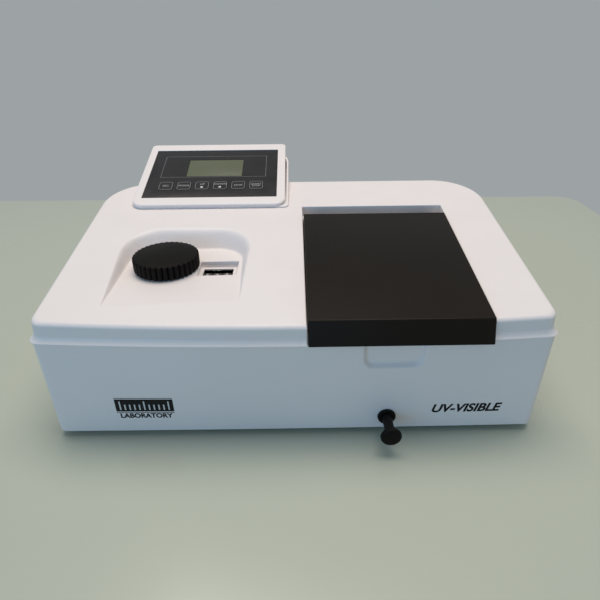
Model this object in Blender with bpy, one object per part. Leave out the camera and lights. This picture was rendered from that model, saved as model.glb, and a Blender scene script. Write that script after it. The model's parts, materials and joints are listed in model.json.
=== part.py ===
"""Bench UV-visible spectrophotometer: a two-part moulded housing with a sloping top, a tilted display head,
a sunk wavelength knob with a drum counter, a hinged sample lid over a four-cell carriage on a pull rod,
and the optical, drive and electrical pieces inside.

Sizes are in millimetres. X runs along the front, Y runs from front to back and Z is up from the bench.
Layout Y is counted from the ends of the front wall; the model's own origin is the middle of its footprint.
"""

import math

import bmesh
import bpy
from mathutils import Vector

MM = 0.001
GAP = 0.3

# Whole object
FRONT_MOST = -29.5
REAR_MOST = 306.3
DEPTH_CENTRE = (FRONT_MOST + REAR_MOST) / 2

# Base housing
BASE_BOTTOM = 6.0
BASE_TOP = 100.0
BASE_HALF_WIDTH = 207.5
BASE_BACK = 254.0
WALL = 3.0
BASE_BOW_TOP = 8.0
BASE_BOW_BOTTOM = 1.0
FLOOR_TOP = BASE_BOTTOM + WALL

# Top cover
FLANGE_HALF_WIDTH = 210.0
FLANGE_TOP = 103.6
FLANGE_FRONT = -2.6
FLANGE_BACK = 257.0
COVER_BOW = 8.9
TOP_FRONT_HEIGHT = 118.3
TOP_SLOPE = math.tan(math.radians(8.2))
TOP_BACK = 246.0
COVER_SKIN = 2.8

# Lid and the tray that it closes
TRAY_LEFT = 9.2
TRAY_RIGHT = 155.6
TRAY_BACK = 183.5
TRAY_FLOOR = 108.0
LID_LEFT = 10.2
LID_RIGHT = 154.6
LID_BACK = 163.1
LID_PROUD = 2.5
LID_FRONT_TOP = -5.0
LID_FRONT_BOTTOM = -12.0
LID_BOTTOM = 100.0
LID_WALL = 4.0
LID_SKIRT_BOTTOM = 110.5
HINGE_Y = 170.0
HINGE_Z = 133.8
HINGE_PIN_RADIUS = 2.0
EAR_RADIUS = 5.0
EAR_WIDTH = 8.3
RECESS_LEFT = 56.0
RECESS_RIGHT = 106.0
RECESS_BOTTOM = 69.0
RECESS_CORNER = 8.0

# Sample compartment, cell carriage and pull rod
BEAM_Y = 85.0
BEAM_Z = 45.0
ROD_X = 77.8
ROD_Z = 20.8
ROD_RADIUS = 4.2
CELL_PITCH = 18.0
CELL_COUNT = 4
CELL_SLOT = 12.6
CARRIAGE_HALF_WIDTH = 14.0
CARRIAGE_FRONT = BEAM_Y - CELL_PITCH / 2
CARRIAGE_BOTTOM = 14.0
CARRIAGE_TOP = 74.0
CELL_FLOOR = 29.0
GUIDE_X = 68.5
GUIDE_Z = 20.8
GUIDE_RADIUS = 3.0
BAY_LEFT = 22.0
BAY_RIGHT = 143.0
BAY_FRONT = 11.0
BAY_BACK = 154.0
BAY_BOTTOM = 12.2
BAY_TOP = 105.0
BAY_WALL = 2.0

# Wavelength knob, its pocket and the drives under it
KNOB_X = -115.7
KNOB_Y = 87.3
KNOB_RADIUS = 29.5
KNOB_HEIGHT = 14.6
KNOB_FLUTES = 36
POCKET_FLOOR = 121.3
POCKET_SKIN = 2.5
POCKET_LEFT = -153.5
POCKET_RIGHT = -48.3
POCKET_BACK = 127.5
POCKET_CORNER = 28.0
POCKET_DRAFT = 0.55
SHAFT_RADIUS = 3.0
GEAR_TEETH = 10
GEAR_PITCH_RADIUS = 8.0
GEAR_INNER_SCALE = 0.7
COUNTER_Z = 104.0
SCREW_Z = 88.0
NUT_Y = 136.0
SINE_ARM_LENGTH = 50.0
PIVOT_X = KNOB_X + SINE_ARM_LENGTH
DRUM_RADIUS = 10.0
DRUM_WIDTH = 8.0
DRUM_LEFT = -84.0
WINDOW = (-87.0, -51.6, 70.6, 99.0)
MASK_DEPTH = 5.3
FRAME_LEFT = KNOB_X - 8.5
FRAME_RIGHT = KNOB_X + 8.5

# Display head: a panel tilted back from the front edge of its keypad
PANEL_TILT = math.radians(15.2)
PANEL_Y = 194.2
PANEL_Z = 152.3
PANEL_LEFT = -170.8
PANEL_RIGHT = -8.9
PANEL_LOW = -17.2
PANEL_HIGH = 114.9
SHELL_WALL = 2.2
KEYPAD = (-162.0, -18.2, 0.0, 100.6)
LCD = (-120.8, -57.8, 43.0, 79.0)
KEY_FIRST_X = -140.1
KEY_PITCH = 19.85
KEY_COUNT = 6
KEY_WIDTH = 15.6
KEY_LENGTH = 16.0
KEY_MIDDLE = 23.4
CABLE_X = -90.0

# Inner pieces
BENCH_TOP = 11.8
MONO = (-135.0, 3.0, 55.0, 180.0)
MONO_TOP = 70.0
MIRROR_X = -160.0
MIRROR_Y = 150.0
FAN_X = -110.0
FAN_Z = 50.0
INLET_X = 134.0
SWITCH_X = 92.0
SOCKET_Z = 36.0


def top_height(y):
    """Height of the cover's sloping top at a layout Y."""
    return TOP_FRONT_HEIGHT + TOP_SLOPE * y


# ---------------------------------------------------------------- scene and materials


def clear_scene():
    for item in list(bpy.data.objects):
        bpy.data.objects.remove(item, do_unlink=True)


def material(name, color, roughness, metallic=0.0, alpha=1.0):
    made = bpy.data.materials.get(name)
    if made:
        return made
    made = bpy.data.materials.new(name)
    made.use_nodes = True
    shader = made.node_tree.nodes["Principled BSDF"]
    shader.inputs["Base Color"].default_value = (*color, 1.0)
    shader.inputs["Roughness"].default_value = roughness
    shader.inputs["Metallic"].default_value = metallic
    shader.inputs["Alpha"].default_value = alpha
    made.diffuse_color = (*color, alpha)
    return made


MATERIALS = {
    "white_plastic": ((0.78, 0.77, 0.74), 0.42, 0.0),
    "black_plastic": ((0.02, 0.02, 0.02), 0.45, 0.0),
    "black_rubber": ((0.03, 0.03, 0.03), 0.8, 0.0),
    "keypad_film": ((0.045, 0.043, 0.045), 0.35, 0.0),
    "lcd_glass": ((0.16, 0.17, 0.09), 0.15, 0.0),
    "circuit_board": ((0.02, 0.16, 0.07), 0.5, 0.0),
    "aluminium": ((0.72, 0.73, 0.74), 0.35, 1.0),
    "black_anodised": ((0.03, 0.03, 0.035), 0.5, 0.3),
    "steel": ((0.6, 0.6, 0.62), 0.3, 1.0),
    "brass": ((0.72, 0.53, 0.22), 0.3, 1.0),
    "lamp_glass": ((0.9, 0.92, 0.95), 0.05, 0.0),
    "mirror": ((0.9, 0.9, 0.9), 0.05, 1.0),
    "zinc_case": ((0.55, 0.56, 0.58), 0.45, 1.0),
    "foam": ((0.02, 0.02, 0.02), 0.95, 0.0),
}


def finish_of(name):
    color, roughness, metallic = MATERIALS[name]
    return material(name, color, roughness, metallic)


# ---------------------------------------------------------------- shape builders, in layout millimetres


def circle(radius, count):
    step = 2 * math.pi / count
    return [(radius * math.cos(i * step), radius * math.sin(i * step)) for i in range(count)]


def along(axis, a, b, height):
    """A point from plane coordinates a, b and a height along an axis, in right-handed order."""
    if axis == "Z":
        return Vector((a, b, height))
    if axis == "X":
        return Vector((height, a, b))
    return Vector((b, height, a))


def ring_at(axis, outline, height, centre=(0.0, 0.0, 0.0)):
    middle = Vector(centre)
    return [middle + along(axis, a, b, height) for a, b in outline]


def add_loft(mesh, rings, closed=False):
    """Joins rings of equal length into one skin, with a cap on each end unless the skin closes on itself."""
    rows = [[mesh.verts.new(point) for point in ring] for ring in rings]
    count = len(rows[0])
    pairs = list(zip(rows, rows[1:]))
    if closed:
        pairs.append((rows[-1], rows[0]))
    for low, high in pairs:
        for i in range(count):
            j = (i + 1) % count
            mesh.faces.new((low[i], low[j], high[j], high[i]))
    if not closed:
        mesh.faces.new(list(reversed(rows[0])))
        mesh.faces.new(rows[-1])


def loft(rings, closed=False):
    mesh = bmesh.new()
    add_loft(mesh, rings, closed)
    bmesh.ops.recalc_face_normals(mesh, faces=mesh.faces)
    return mesh


def box(*spans):
    """One mesh of boxes, each given as (x0, x1, y0, y1, z0, z1)."""
    mesh = bmesh.new()
    for x0, x1, y0, y1, z0, z1 in spans:
        outline = [(x0, y0), (x1, y0), (x1, y1), (x0, y1)]
        add_loft(mesh, [ring_at("Z", outline, z0), ring_at("Z", outline, z1)])
    bmesh.ops.recalc_face_normals(mesh, faces=mesh.faces)
    return mesh


def prism(axis, outline, low, high, centre=(0.0, 0.0, 0.0)):
    return loft([ring_at(axis, outline, low, centre), ring_at(axis, outline, high, centre)])


def yz_prism(outline, x0, x1):
    """A solid of constant section along X, from (y, z) points."""
    return prism("X", outline, x0, x1)


def turned(axis, profile, centre, count=24):
    """A turned solid from (radius, height) points; a profile that keeps off the axis closes on itself."""
    rings = [ring_at(axis, circle(radius, count), height, centre) for radius, height in profile]
    return loft(rings)


def turned_ring(axis, profile, centre, count=24):
    rings = [ring_at(axis, circle(radius, count), height, centre) for radius, height in profile]
    return loft(rings, closed=True)


def rounded_rectangle(x0, x1, y0, y1, low_radius, high_radius, count=5):
    """Corner radii low_radius at y0 and high_radius at y1, counter-clockwise from the low right corner."""
    corners = (
        (x1 - low_radius, y0 + low_radius, low_radius, -0.5),
        (x1 - high_radius, y1 - high_radius, high_radius, 0.0),
        (x0 + high_radius, y1 - high_radius, high_radius, 0.5),
        (x0 + low_radius, y0 + low_radius, low_radius, 1.0),
    )
    points = []
    for x, y, radius, turn in corners:
        for i in range(count + 1):
            angle = math.pi * (turn + 0.5 * i / count)
            points.append((x + radius * math.cos(angle), y + radius * math.sin(angle)))
    return points


def body_outline(half_width, front, bow, back, front_radius, rear_radius):
    """The housing's plan: a front that bows forward in a parabola, and four rounded corners."""
    segments = 10
    span = half_width - front_radius

    def bowed(x):
        return front - bow * (1 - (x / half_width) ** 2)

    points = [(x, bowed(x)) for x in (-span + 2 * span * i / segments for i in range(segments))]
    corner_front = bowed(span)
    outline = rounded_rectangle(-half_width, half_width, corner_front, back, front_radius, rear_radius)
    return points + outline


def add_piece(name, mesh, finish, origin=(0.0, 0.0, 0.0), parent=None, tilt=0.0):
    """Makes a named object whose origin is a layout point; a tilted piece is drawn in its panel's frame."""
    for vertex in mesh.verts:
        vertex.co = (vertex.co - Vector(origin)) * MM if not tilt else vertex.co * MM
    data = bpy.data.meshes.new(name)
    mesh.to_mesh(data)
    mesh.free()
    piece = bpy.data.objects.new(name, data)
    bpy.context.scene.collection.objects.link(piece)
    if finish:
        data.materials.append(finish_of(finish))
    place = Vector((origin[0], origin[1] - DEPTH_CENTRE, origin[2])) * MM
    if parent:
        piece.parent = parent
        place = place - parent.location
    piece.location = place
    piece.rotation_euler = (tilt, 0.0, 0.0)
    return piece


def add_axis(name, point):
    """An empty on a joint's axis, which the moving pieces hang from."""
    axis = bpy.data.objects.new(name, None)
    axis.empty_display_size = 0.01
    axis.location = Vector((point[0], point[1] - DEPTH_CENTRE, point[2])) * MM
    bpy.context.scene.collection.objects.link(axis)
    return axis


def add_helper(name, mesh, tilt_origin=None):
    """A hidden solid that only shapes other pieces."""
    if tilt_origin:
        helper = add_piece(name, mesh, None, tilt_origin, tilt=PANEL_TILT)
    else:
        helper = add_piece(name, mesh, None)
    helper.hide_render = True
    helper.display_type = "WIRE"
    return helper


def apply_helper(piece, helper, operation="DIFFERENCE"):
    step = piece.modifiers.new(helper.name, "BOOLEAN")
    step.operation = operation
    step.solver = "EXACT"
    step.object = helper


def combine(piece, mesh, name, operation="DIFFERENCE", tilt_origin=None):
    """Cuts, or joins, a hidden helper solid from or to a piece."""
    apply_helper(piece, add_helper(name, mesh, tilt_origin), operation)


def smooth(piece, degrees=35.0):
    piece.data.shade_smooth()
    piece.data.set_sharp_from_angle(angle=math.radians(degrees))
    return piece


# ---------------------------------------------------------------- housing


def base_ring(z, inset=0.0):
    """The base's outline at a height: the front bows further forward the higher it is."""
    share = (z - BASE_BOTTOM) / (BASE_TOP - BASE_BOTTOM)
    bow = BASE_BOW_BOTTOM + (BASE_BOW_TOP - BASE_BOW_BOTTOM) * share
    half_width = BASE_HALF_WIDTH - 1.0 + share - inset
    outline = body_outline(half_width, inset, bow, BASE_BACK - inset, 12.0 - inset, 46.0 - inset)
    return ring_at("Z", outline, z)


def base_housing():
    outer = [base_ring(BASE_BOTTOM, 1.5), base_ring(BASE_BOTTOM + 1.5), base_ring(BASE_TOP)]
    base = add_piece("base_housing", loft(outer), "white_plastic")
    inside = loft([base_ring(FLOOR_TOP, WALL), base_ring(BASE_TOP + 1.0, WALL)])
    cavity = add_helper("cut_base_cavity", inside)
    backing = box((RECESS_LEFT - 4.0, RECESS_RIGHT + 4.0, -20.0, 4.5, RECESS_BOTTOM - 7.0, BASE_TOP + 10.0))
    combine(cavity, backing, "keep_recess_backing")
    apply_helper(base, cavity)
    recess = loft(
        [
            ring_at("Y", recess_outline(0.0), -20.0),
            ring_at("Y", recess_outline(0.0), -7.0),
            ring_at("Y", recess_outline(3.0), 1.5),
        ]
    )
    combine(base, recess, "cut_finger_recess")
    combine(base, prism("Y", circle(5.4, 16), -10.0, 6.0, (ROD_X, 0.0, ROD_Z)), "cut_rod_hole")
    for i in range(-3, 4):
        combine(base, rear_box(FAN_X + 6.6 * i, 1.7, FAN_Z, 20.0, -8.0, 5.0), f"cut_fan_slot_{i + 4}")
    combine(base, rear_box(INLET_X, 13.8, SOCKET_Z, 10.3, -8.0, 5.0), "cut_inlet_hole")
    combine(base, rear_box(SWITCH_X, 9.8, SOCKET_Z, 6.8, -8.0, 5.0), "cut_switch_hole")


def rear_box(x, half_width, z, half_height, inner, outer):
    """A box through the back wall; inner and outer count from the wall's outer face."""
    front = BASE_BACK + inner
    back = BASE_BACK + outer
    return box((x - half_width, x + half_width, front, back, z - half_height, z + half_height))


def recess_outline(inset):
    """The lid's finger recess seen from the front, as (z, x) points: a tub open at the top."""
    left = RECESS_LEFT + inset
    right = RECESS_RIGHT - inset
    outline = rounded_rectangle(left, right, RECESS_BOTTOM + inset, BASE_TOP + 12.0, RECESS_CORNER, 0.5)
    return [(z, x) for x, z in reversed(outline)]


def cover_ring(half_width, front, back, rear_radius, height, front_radius=13.0):
    outline = body_outline(half_width, front, COVER_BOW, back, front_radius, rear_radius)
    return [Vector((x, y, height(y))) for x, y in outline]


def pocket_ring(z, grow):
    rise = (z - POCKET_FLOOR) * POCKET_DRAFT + grow
    outline = rounded_rectangle(
        POCKET_LEFT - rise * 0.6, POCKET_RIGHT + rise * 0.7, -14.0, POCKET_BACK + rise, 6.0, POCKET_CORNER
    )
    return ring_at("Z", outline, z)


def tray_profile():
    """The lid tray's section in (y, z): flat floor, upright back and a front that follows the lid's nose."""
    return [
        (-40.0, 99.0),
        (-8.9, 99.0),
        (-5.8, TRAY_FLOOR),
        (TRAY_BACK, TRAY_FLOOR),
        (TRAY_BACK, 200.0),
        (-40.0, 200.0),
    ]


def hinge_ear(x0, x1):
    """An upright ear with a round top about the lid's hinge, which the lid's back swings past."""
    outline = [(HINGE_Y - EAR_RADIUS, TRAY_FLOOR - 15.0), (HINGE_Y + EAR_RADIUS, TRAY_FLOOR - 15.0)]
    for i in range(9):
        angle = math.pi * i / 8
        outline.append((HINGE_Y + EAR_RADIUS * math.cos(angle), HINGE_Z + EAR_RADIUS * math.sin(angle)))
    return yz_prism(outline, x0, x1)


def top_cover():
    rings = [
        cover_ring(FLANGE_HALF_WIDTH, FLANGE_FRONT, FLANGE_BACK, 52.0, lambda y: BASE_TOP + GAP),
        cover_ring(FLANGE_HALF_WIDTH, FLANGE_FRONT, FLANGE_BACK, 52.0, lambda y: FLANGE_TOP),
        cover_ring(206.8, 0.2, FLANGE_BACK - 4.0, 50.0, lambda y: FLANGE_TOP + 1.6),
        cover_ring(205.8, 0.0, TOP_BACK, 49.0, lambda y: top_height(y) - 3.0),
        cover_ring(205.0, 0.8, TOP_BACK - 0.9, 48.0, lambda y: top_height(y) - 0.9),
        cover_ring(203.0, 2.9, TOP_BACK - 3.0, 46.0, top_height),
    ]
    cover = add_piece("top_cover", loft(rings), "white_plastic")
    inner = [
        cover_ring(203.4, 3.2, FLANGE_BACK - 7.0, 46.0, lambda y: BASE_TOP - 1.0, 10.0),
        cover_ring(203.4, 3.2, FLANGE_BACK - 7.0, 46.0, lambda y: FLANGE_TOP, 10.0),
        cover_ring(202.6, 3.4, TOP_BACK - 3.6, 45.0, lambda y: top_height(y) - COVER_SKIN - 1.0, 10.0),
        cover_ring(201.0, 5.4, TOP_BACK - 5.6, 44.0, lambda y: top_height(y) - COVER_SKIN, 10.0),
    ]
    cavity = add_helper("cut_cover_cavity", loft(inner))
    tray_walls = box((TRAY_LEFT - 2.5, TRAY_RIGHT + 2.5, -40.0, TRAY_BACK + 2.5, TRAY_FLOOR - 2.5, 200.0))
    combine(cavity, tray_walls, "keep_tray_walls")
    pocket_underside = pocket_ring(POCKET_FLOOR - POCKET_SKIN, POCKET_SKIN)
    combine(cavity, loft([pocket_underside, pocket_ring(170.0, POCKET_SKIN)]), "keep_pocket_walls")
    apply_helper(cover, cavity)
    tray = add_helper("cut_lid_tray", yz_prism(tray_profile(), TRAY_LEFT, TRAY_RIGHT))
    combine(tray, hinge_ear(TRAY_LEFT - 3.0, TRAY_LEFT + EAR_WIDTH), "keep_left_ear")
    combine(tray, hinge_ear(TRAY_RIGHT - EAR_WIDTH, TRAY_RIGHT + 3.0), "keep_right_ear")
    apply_helper(cover, tray)
    combine(cover, loft([pocket_ring(POCKET_FLOOR, 0.0), pocket_ring(175.0, 0.0)]), "cut_knob_pocket")
    window_x0, window_x1, window_y0, window_y1 = WINDOW
    combine(cover, box((window_x0, window_x1, window_y0, window_y1, 110.0, 130.0)), "cut_counter_window")
    combine(cover, prism("Z", circle(6.3, 16), 110.0, 130.0, (KNOB_X, KNOB_Y, 0.0)), "cut_bushing_hole")
    combine(cover, bay_box(BASE_TOP, TRAY_FLOOR + 4.0), "cut_bay_opening")
    hinge = (0.0, HINGE_Y, HINGE_Z)
    pin_hole = prism("X", circle(HINGE_PIN_RADIUS + GAP, 12), TRAY_LEFT + 1.0, TRAY_RIGHT - 1.0, hinge)
    combine(cover, pin_hole, "cut_hinge_pin_hole")
    cable_hole = prism("Z", circle(7.0, 12), 120.0, 170.0, (CABLE_X, 214.0, 0.0))
    combine(cover, cable_hole, "cut_cable_hole")


def feet():
    for side, x in (("left", -178.0), ("right", 178.0)):
        for end, y in (("front", 30.0), ("rear", 222.0)):
            profile = [(8.0, 0.0), (9.5, 1.5), (10.0, BASE_BOTTOM - GAP)]
            foot = turned("Z", profile, (x, y, 0.0), 16)
            smooth(add_piece(f"foot_{end}_{side}", foot, "black_rubber", (x, y, 0.0)))


# ---------------------------------------------------------------- display head


def panel_box(x0, x1, l0, l1, h0, h1):
    return box((x0, x1, l0, l1, h0, h1))


PANEL_ORIGIN = (0.0, PANEL_Y, PANEL_Z)


def add_panel_piece(name, mesh, finish):
    return add_piece(name, mesh, finish, PANEL_ORIGIN, tilt=PANEL_TILT)


def cut_panel(piece, mesh, name):
    combine(piece, mesh, name, tilt_origin=PANEL_ORIGIN)


def shell_ring(bottom, inset):
    """The display shell's outline in panel coordinates, just under the bezel or along the cover's slope."""
    high = PANEL_HIGH - 6.0 if bottom else PANEL_HIGH + 0.4
    left = PANEL_LEFT - 3.0 + inset
    right = PANEL_RIGHT + 3.0 - inset
    outline = rounded_rectangle(left, right, PANEL_LOW - GAP + inset, high - inset, 11.0, 7.0)
    if not bottom:
        return [Vector((x, length, -2.9)) for x, length in outline]
    slope = math.atan(TOP_SLOPE)
    fall = math.tan(PANEL_TILT - slope)
    lift = (PANEL_Z - top_height(PANEL_Y)) * math.cos(slope) / math.cos(math.atan(fall))
    floor = 0.4 if inset == 0.0 else 2.4
    return [Vector((x, length, min(floor - lift - fall * length, -3.1))) for x, length in outline]


def display_head():
    outer = rounded_rectangle(PANEL_LEFT, PANEL_RIGHT, PANEL_LOW, PANEL_HIGH, 12.0, 5.0)
    skins = [ring_at("Z", outer, -2.6), ring_at("Z", outer, -0.3), bezel_face_ring()]
    bezel = add_panel_piece("display_bezel", loft(skins), "white_plastic")
    x0, x1, l0, l1 = KEYPAD
    cut_panel(bezel, panel_box(x0 - GAP, x1 + GAP, l0 - GAP, l1 + GAP, -1.3, 3.0), "cut_film_seat")
    cut_panel(bezel, panel_box(-152.0, -28.0, 10.0, 92.0, -9.0, 3.0), "cut_bezel_window")

    film = add_panel_piece("keypad_overlay", panel_box(x0, x1, l0, l1, -1.0, 0.0), "keypad_film")
    lcd_x0, lcd_x1, lcd_l0, lcd_l1 = LCD
    holes = [(lcd_x0, lcd_x1, lcd_l0, lcd_l1, -3.0, 2.0)]
    for i in range(KEY_COUNT):
        x = KEY_FIRST_X + KEY_PITCH * i
        half = KEY_WIDTH / 2 + GAP
        reach = KEY_LENGTH / 2 + GAP
        holes.append((x - half, x + half, KEY_MIDDLE - reach, KEY_MIDDLE + reach, -3.0, 2.0))
    cut_panel(film, box(*holes), "cut_film_holes")

    window = panel_box(lcd_x0 + GAP, lcd_x1 - GAP, lcd_l0 + GAP, lcd_l1 - GAP, -1.0, -0.2)
    add_panel_piece("lcd_window", window, "lcd_glass")
    add_panel_piece("lcd_module", panel_box(-128.0, -50.0, 36.0, 86.0, -7.5, -1.6), "zinc_case")
    add_panel_piece("display_board", panel_box(-150.0, -30.0, 12.0, 33.5, -4.6, -3.6), "circuit_board")
    for i in range(KEY_COUNT):
        x = KEY_FIRST_X + KEY_PITCH * i
        half = KEY_WIDTH / 2
        reach = KEY_LENGTH / 2
        cap = panel_box(x - half, x + half, KEY_MIDDLE - reach, KEY_MIDDLE + reach, -2.6, 0.35)
        add_panel_piece(f"key_{i + 1}", cap, "keypad_film")

    outside = loft([shell_ring(True, 0.0), shell_ring(False, 0.0)])
    shell = add_panel_piece("display_shell", outside, "white_plastic")
    above_rim = [point + Vector((0.0, 0.0, 3.0)) for point in shell_ring(False, SHELL_WALL)]
    cut_panel(shell, loft([shell_ring(True, SHELL_WALL), above_rim]), "cut_shell_hollow")
    cut_panel(shell, prism("Z", circle(6.0, 12), -30.0, 0.0, (CABLE_X, 22.0, 0.0)), "cut_shell_cable")


def bezel_face_ring():
    """The bezel's front edge, chamfered in from its sides."""
    edge = 0.8
    left = PANEL_LEFT + edge
    right = PANEL_RIGHT - edge
    outline = rounded_rectangle(left, right, PANEL_LOW + edge, PANEL_HIGH - edge, 11.2, 4.2)
    return ring_at("Z", outline, 0.5)


# ---------------------------------------------------------------- lid


def lid_nose_y(z):
    """The lid's outer front at a height: it leans forward towards its lower edge."""
    top = lid_top(LID_FRONT_TOP)
    share = (top - z) / (top - LID_BOTTOM)
    return LID_FRONT_TOP + (LID_FRONT_BOTTOM - LID_FRONT_TOP) * share


def lid_top(y):
    return top_height(y) + LID_PROUD


def sample_lid():
    axis = add_axis("lid_axis", (0.0, HINGE_Y, HINGE_Z))
    profile = [
        (lid_nose_y(LID_BOTTOM), LID_BOTTOM),
        (LID_BACK, LID_BOTTOM),
        (LID_BACK, lid_top(LID_BACK)),
        (LID_FRONT_TOP, lid_top(LID_FRONT_TOP)),
    ]
    origin = (0.0, HINGE_Y, HINGE_Z)
    lid = add_piece("sample_lid", yz_prism(profile, LID_LEFT, LID_RIGHT), "black_plastic", origin, axis)
    rib_front = 2.0
    rib_back = 6.0
    sill = TRAY_FLOOR + 0.6
    under = [
        (lid_nose_y(90.0) + 2.5, 90.0),
        (LID_BACK + 5.0, 90.0),
        (LID_BACK + 5.0, LID_SKIRT_BOTTOM),
        (rib_front - 1.5, LID_SKIRT_BOTTOM),
        (rib_front - 1.5, sill),
        (lid_nose_y(sill) + 2.5, sill),
    ]
    combine(lid, yz_prism(under, LID_LEFT - 5.0, LID_RIGHT + 5.0), "cut_under_skirts")
    hollow = yz_prism(
        [
            (rib_back, 90.0),
            (LID_BACK - LID_WALL, 90.0),
            (LID_BACK - LID_WALL, lid_top(LID_BACK - LID_WALL) - 2.5),
            (rib_back, lid_top(rib_back) - 2.5),
        ],
        LID_LEFT + LID_WALL,
        LID_RIGHT - LID_WALL,
    )
    combine(lid, hollow, "cut_lid_hollow")
    nose = yz_prism(
        [
            (lid_nose_y(90.0) + 2.5, 90.0),
            (rib_front, 90.0),
            (rib_front, lid_top(rib_front) - 3.0),
            (lid_nose_y(lid_top(LID_FRONT_TOP) - 3.5) + 2.5, lid_top(LID_FRONT_TOP) - 3.5),
        ],
        LID_LEFT + 2.5,
        LID_RIGHT - 2.5,
    )
    combine(lid, nose, "cut_lid_nose")
    lug = [
        (LID_BACK - 2.0, HINGE_Z - 8.0),
        (HINGE_Y, HINGE_Z - 6.0),
        (HINGE_Y + 4.5, HINGE_Z - 4.5),
        (HINGE_Y + 6.0, HINGE_Z),
        (HINGE_Y + 4.5, HINGE_Z + 4.5),
        (HINGE_Y, HINGE_Z + 6.0),
        (LID_BACK - 2.0, HINGE_Z + 8.0),
    ]
    for side, x0 in (("left", 22.0), ("right", 130.8)):
        combine(lid, yz_prism(lug, x0, x0 + 12.0), f"join_lug_{side}", "UNION")
    bore = prism("X", circle(HINGE_PIN_RADIUS + GAP, 12), 15.0, 150.0, (0.0, HINGE_Y, HINGE_Z))
    combine(lid, bore, "cut_lug_bores")

    seal_bottom = TRAY_FLOOR + GAP
    seal_top = LID_SKIRT_BOTTOM - GAP
    strip = box((LID_LEFT + 0.4, LID_RIGHT - 0.4, rib_front + 0.2, LID_BACK - 0.4, seal_bottom, seal_top))
    seal = add_piece("lid_seal", strip, "foam", origin, axis)
    left = LID_LEFT + LID_WALL
    right = LID_RIGHT - LID_WALL
    seal_window = box((left, right, rib_back, LID_BACK - LID_WALL, LID_BOTTOM, LID_SKIRT_BOTTOM + 10.0))
    combine(seal, seal_window, "cut_seal_window")
    pin = prism("X", circle(HINGE_PIN_RADIUS, 12), TRAY_LEFT + 1.5, TRAY_RIGHT - 1.5, (0.0, HINGE_Y, HINGE_Z))
    add_piece("lid_hinge_pin", pin, "steel", origin)


# ---------------------------------------------------------------- sample compartment and cell carriage


def bay_box(bottom, top):
    """The space inside the sample bay's walls, between two heights."""
    left = BAY_LEFT + BAY_WALL
    right = BAY_RIGHT - BAY_WALL
    return box((left, right, BAY_FRONT + BAY_WALL, BAY_BACK - BAY_WALL, bottom, top))


def sample_compartment():
    rim = (BAY_LEFT - 6.0, BAY_RIGHT + 6.0, BAY_FRONT - 6.0, BAY_BACK + 6.0, BAY_TOP - 2.2, BAY_TOP)
    block = box((BAY_LEFT, BAY_RIGHT, BAY_FRONT, BAY_BACK, BAY_BOTTOM, BAY_TOP - 1.0))
    tub = add_piece("sample_compartment", block, "black_anodised")
    combine(tub, box(rim), "join_tub_rim", "UNION")
    combine(tub, bay_box(CARRIAGE_BOTTOM - 0.5, BAY_TOP + 15.0), "cut_tub_inside")
    ports = prism("X", circle(6.0, 12), 0.0, 170.0, (0.0, BEAM_Y, BEAM_Z))
    combine(tub, ports, "cut_light_ports")
    combine(tub, prism("Y", circle(5.2, 12), 0.0, 20.0, (ROD_X, 0.0, ROD_Z)), "cut_tub_rod_hole")

    front = BAY_FRONT + BAY_WALL + GAP
    back = BAY_BACK - BAY_WALL - GAP
    guide = prism("Y", circle(GUIDE_RADIUS, 12), front, back, (GUIDE_X, 0.0, GUIDE_Z))
    add_piece("carriage_guide_rod", guide, "steel", (GUIDE_X, BAY_FRONT, GUIDE_Z))


def cell_carriage():
    left = ROD_X - CARRIAGE_HALF_WIDTH
    right = ROD_X + CARRIAGE_HALF_WIDTH
    back = CARRIAGE_FRONT + CELL_PITCH * CELL_COUNT
    origin = (ROD_X, CARRIAGE_FRONT, ROD_Z)
    axis = add_axis("carriage_axis", origin)
    block = box((left, right, CARRIAGE_FRONT, back, CARRIAGE_BOTTOM, CARRIAGE_TOP))
    carriage = add_piece("cell_carriage", block, "black_anodised", origin, axis)
    half = CELL_SLOT / 2
    for i in range(CELL_COUNT):
        y = BEAM_Y + CELL_PITCH * i
        slot = box((ROD_X - half, ROD_X + half, y - half, y + half, CELL_FLOOR, CARRIAGE_TOP + 6.0))
        combine(carriage, slot, f"cut_cell_slot_{i + 1}")
        window = box((left - 5.0, right + 5.0, y - 3.0, y + 3.0, BEAM_Z - 9.0, BEAM_Z + 9.0))
        combine(carriage, window, f"cut_beam_window_{i + 1}")
    guide_bore = prism("Y", circle(GUIDE_RADIUS + GAP, 12), 60.0, 170.0, (GUIDE_X, 0.0, GUIDE_Z))
    combine(carriage, guide_bore, "cut_guide_bore")

    rod = prism("Y", circle(ROD_RADIUS, 16), FRONT_MOST + 4.0, CARRIAGE_FRONT - GAP, (ROD_X, 0.0, ROD_Z))
    smooth(add_piece("pull_rod", rod, "black_plastic", origin, axis))
    knob_profile = [
        (4.9, FRONT_MOST + 8.5),
        (5.6, FRONT_MOST + 5.2),
        (8.2, FRONT_MOST + 4.2),
        (8.8, FRONT_MOST + 3.0),
        (8.6, FRONT_MOST + 1.2),
        (7.2, FRONT_MOST + 0.2),
        (4.0, FRONT_MOST),
    ]
    rod_line = (ROD_X, 0.0, ROD_Z)
    knob = add_piece("pull_rod_knob", turned("Y", knob_profile, rod_line, 20), "black_plastic", origin, axis)
    bore = prism("Y", circle(ROD_RADIUS + GAP, 16), FRONT_MOST + 4.0 - GAP, 0.0, rod_line)
    combine(knob, bore, "cut_knob_socket")
    smooth(knob)

    sleeve = [
        (ROD_RADIUS + 0.4, -4.6),
        (7.0, -4.6),
        (7.7, -3.9),
        (7.7, -2.4),
        (5.1, -2.3),
        (5.1, 3.5),
        (ROD_RADIUS + 0.4, 3.5),
    ]
    ring = turned_ring("Y", sleeve, (ROD_X, 0.0, ROD_Z), 20)
    smooth(add_piece("rod_escutcheon", ring, "black_plastic", (ROD_X, 0.0, ROD_Z)))


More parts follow.
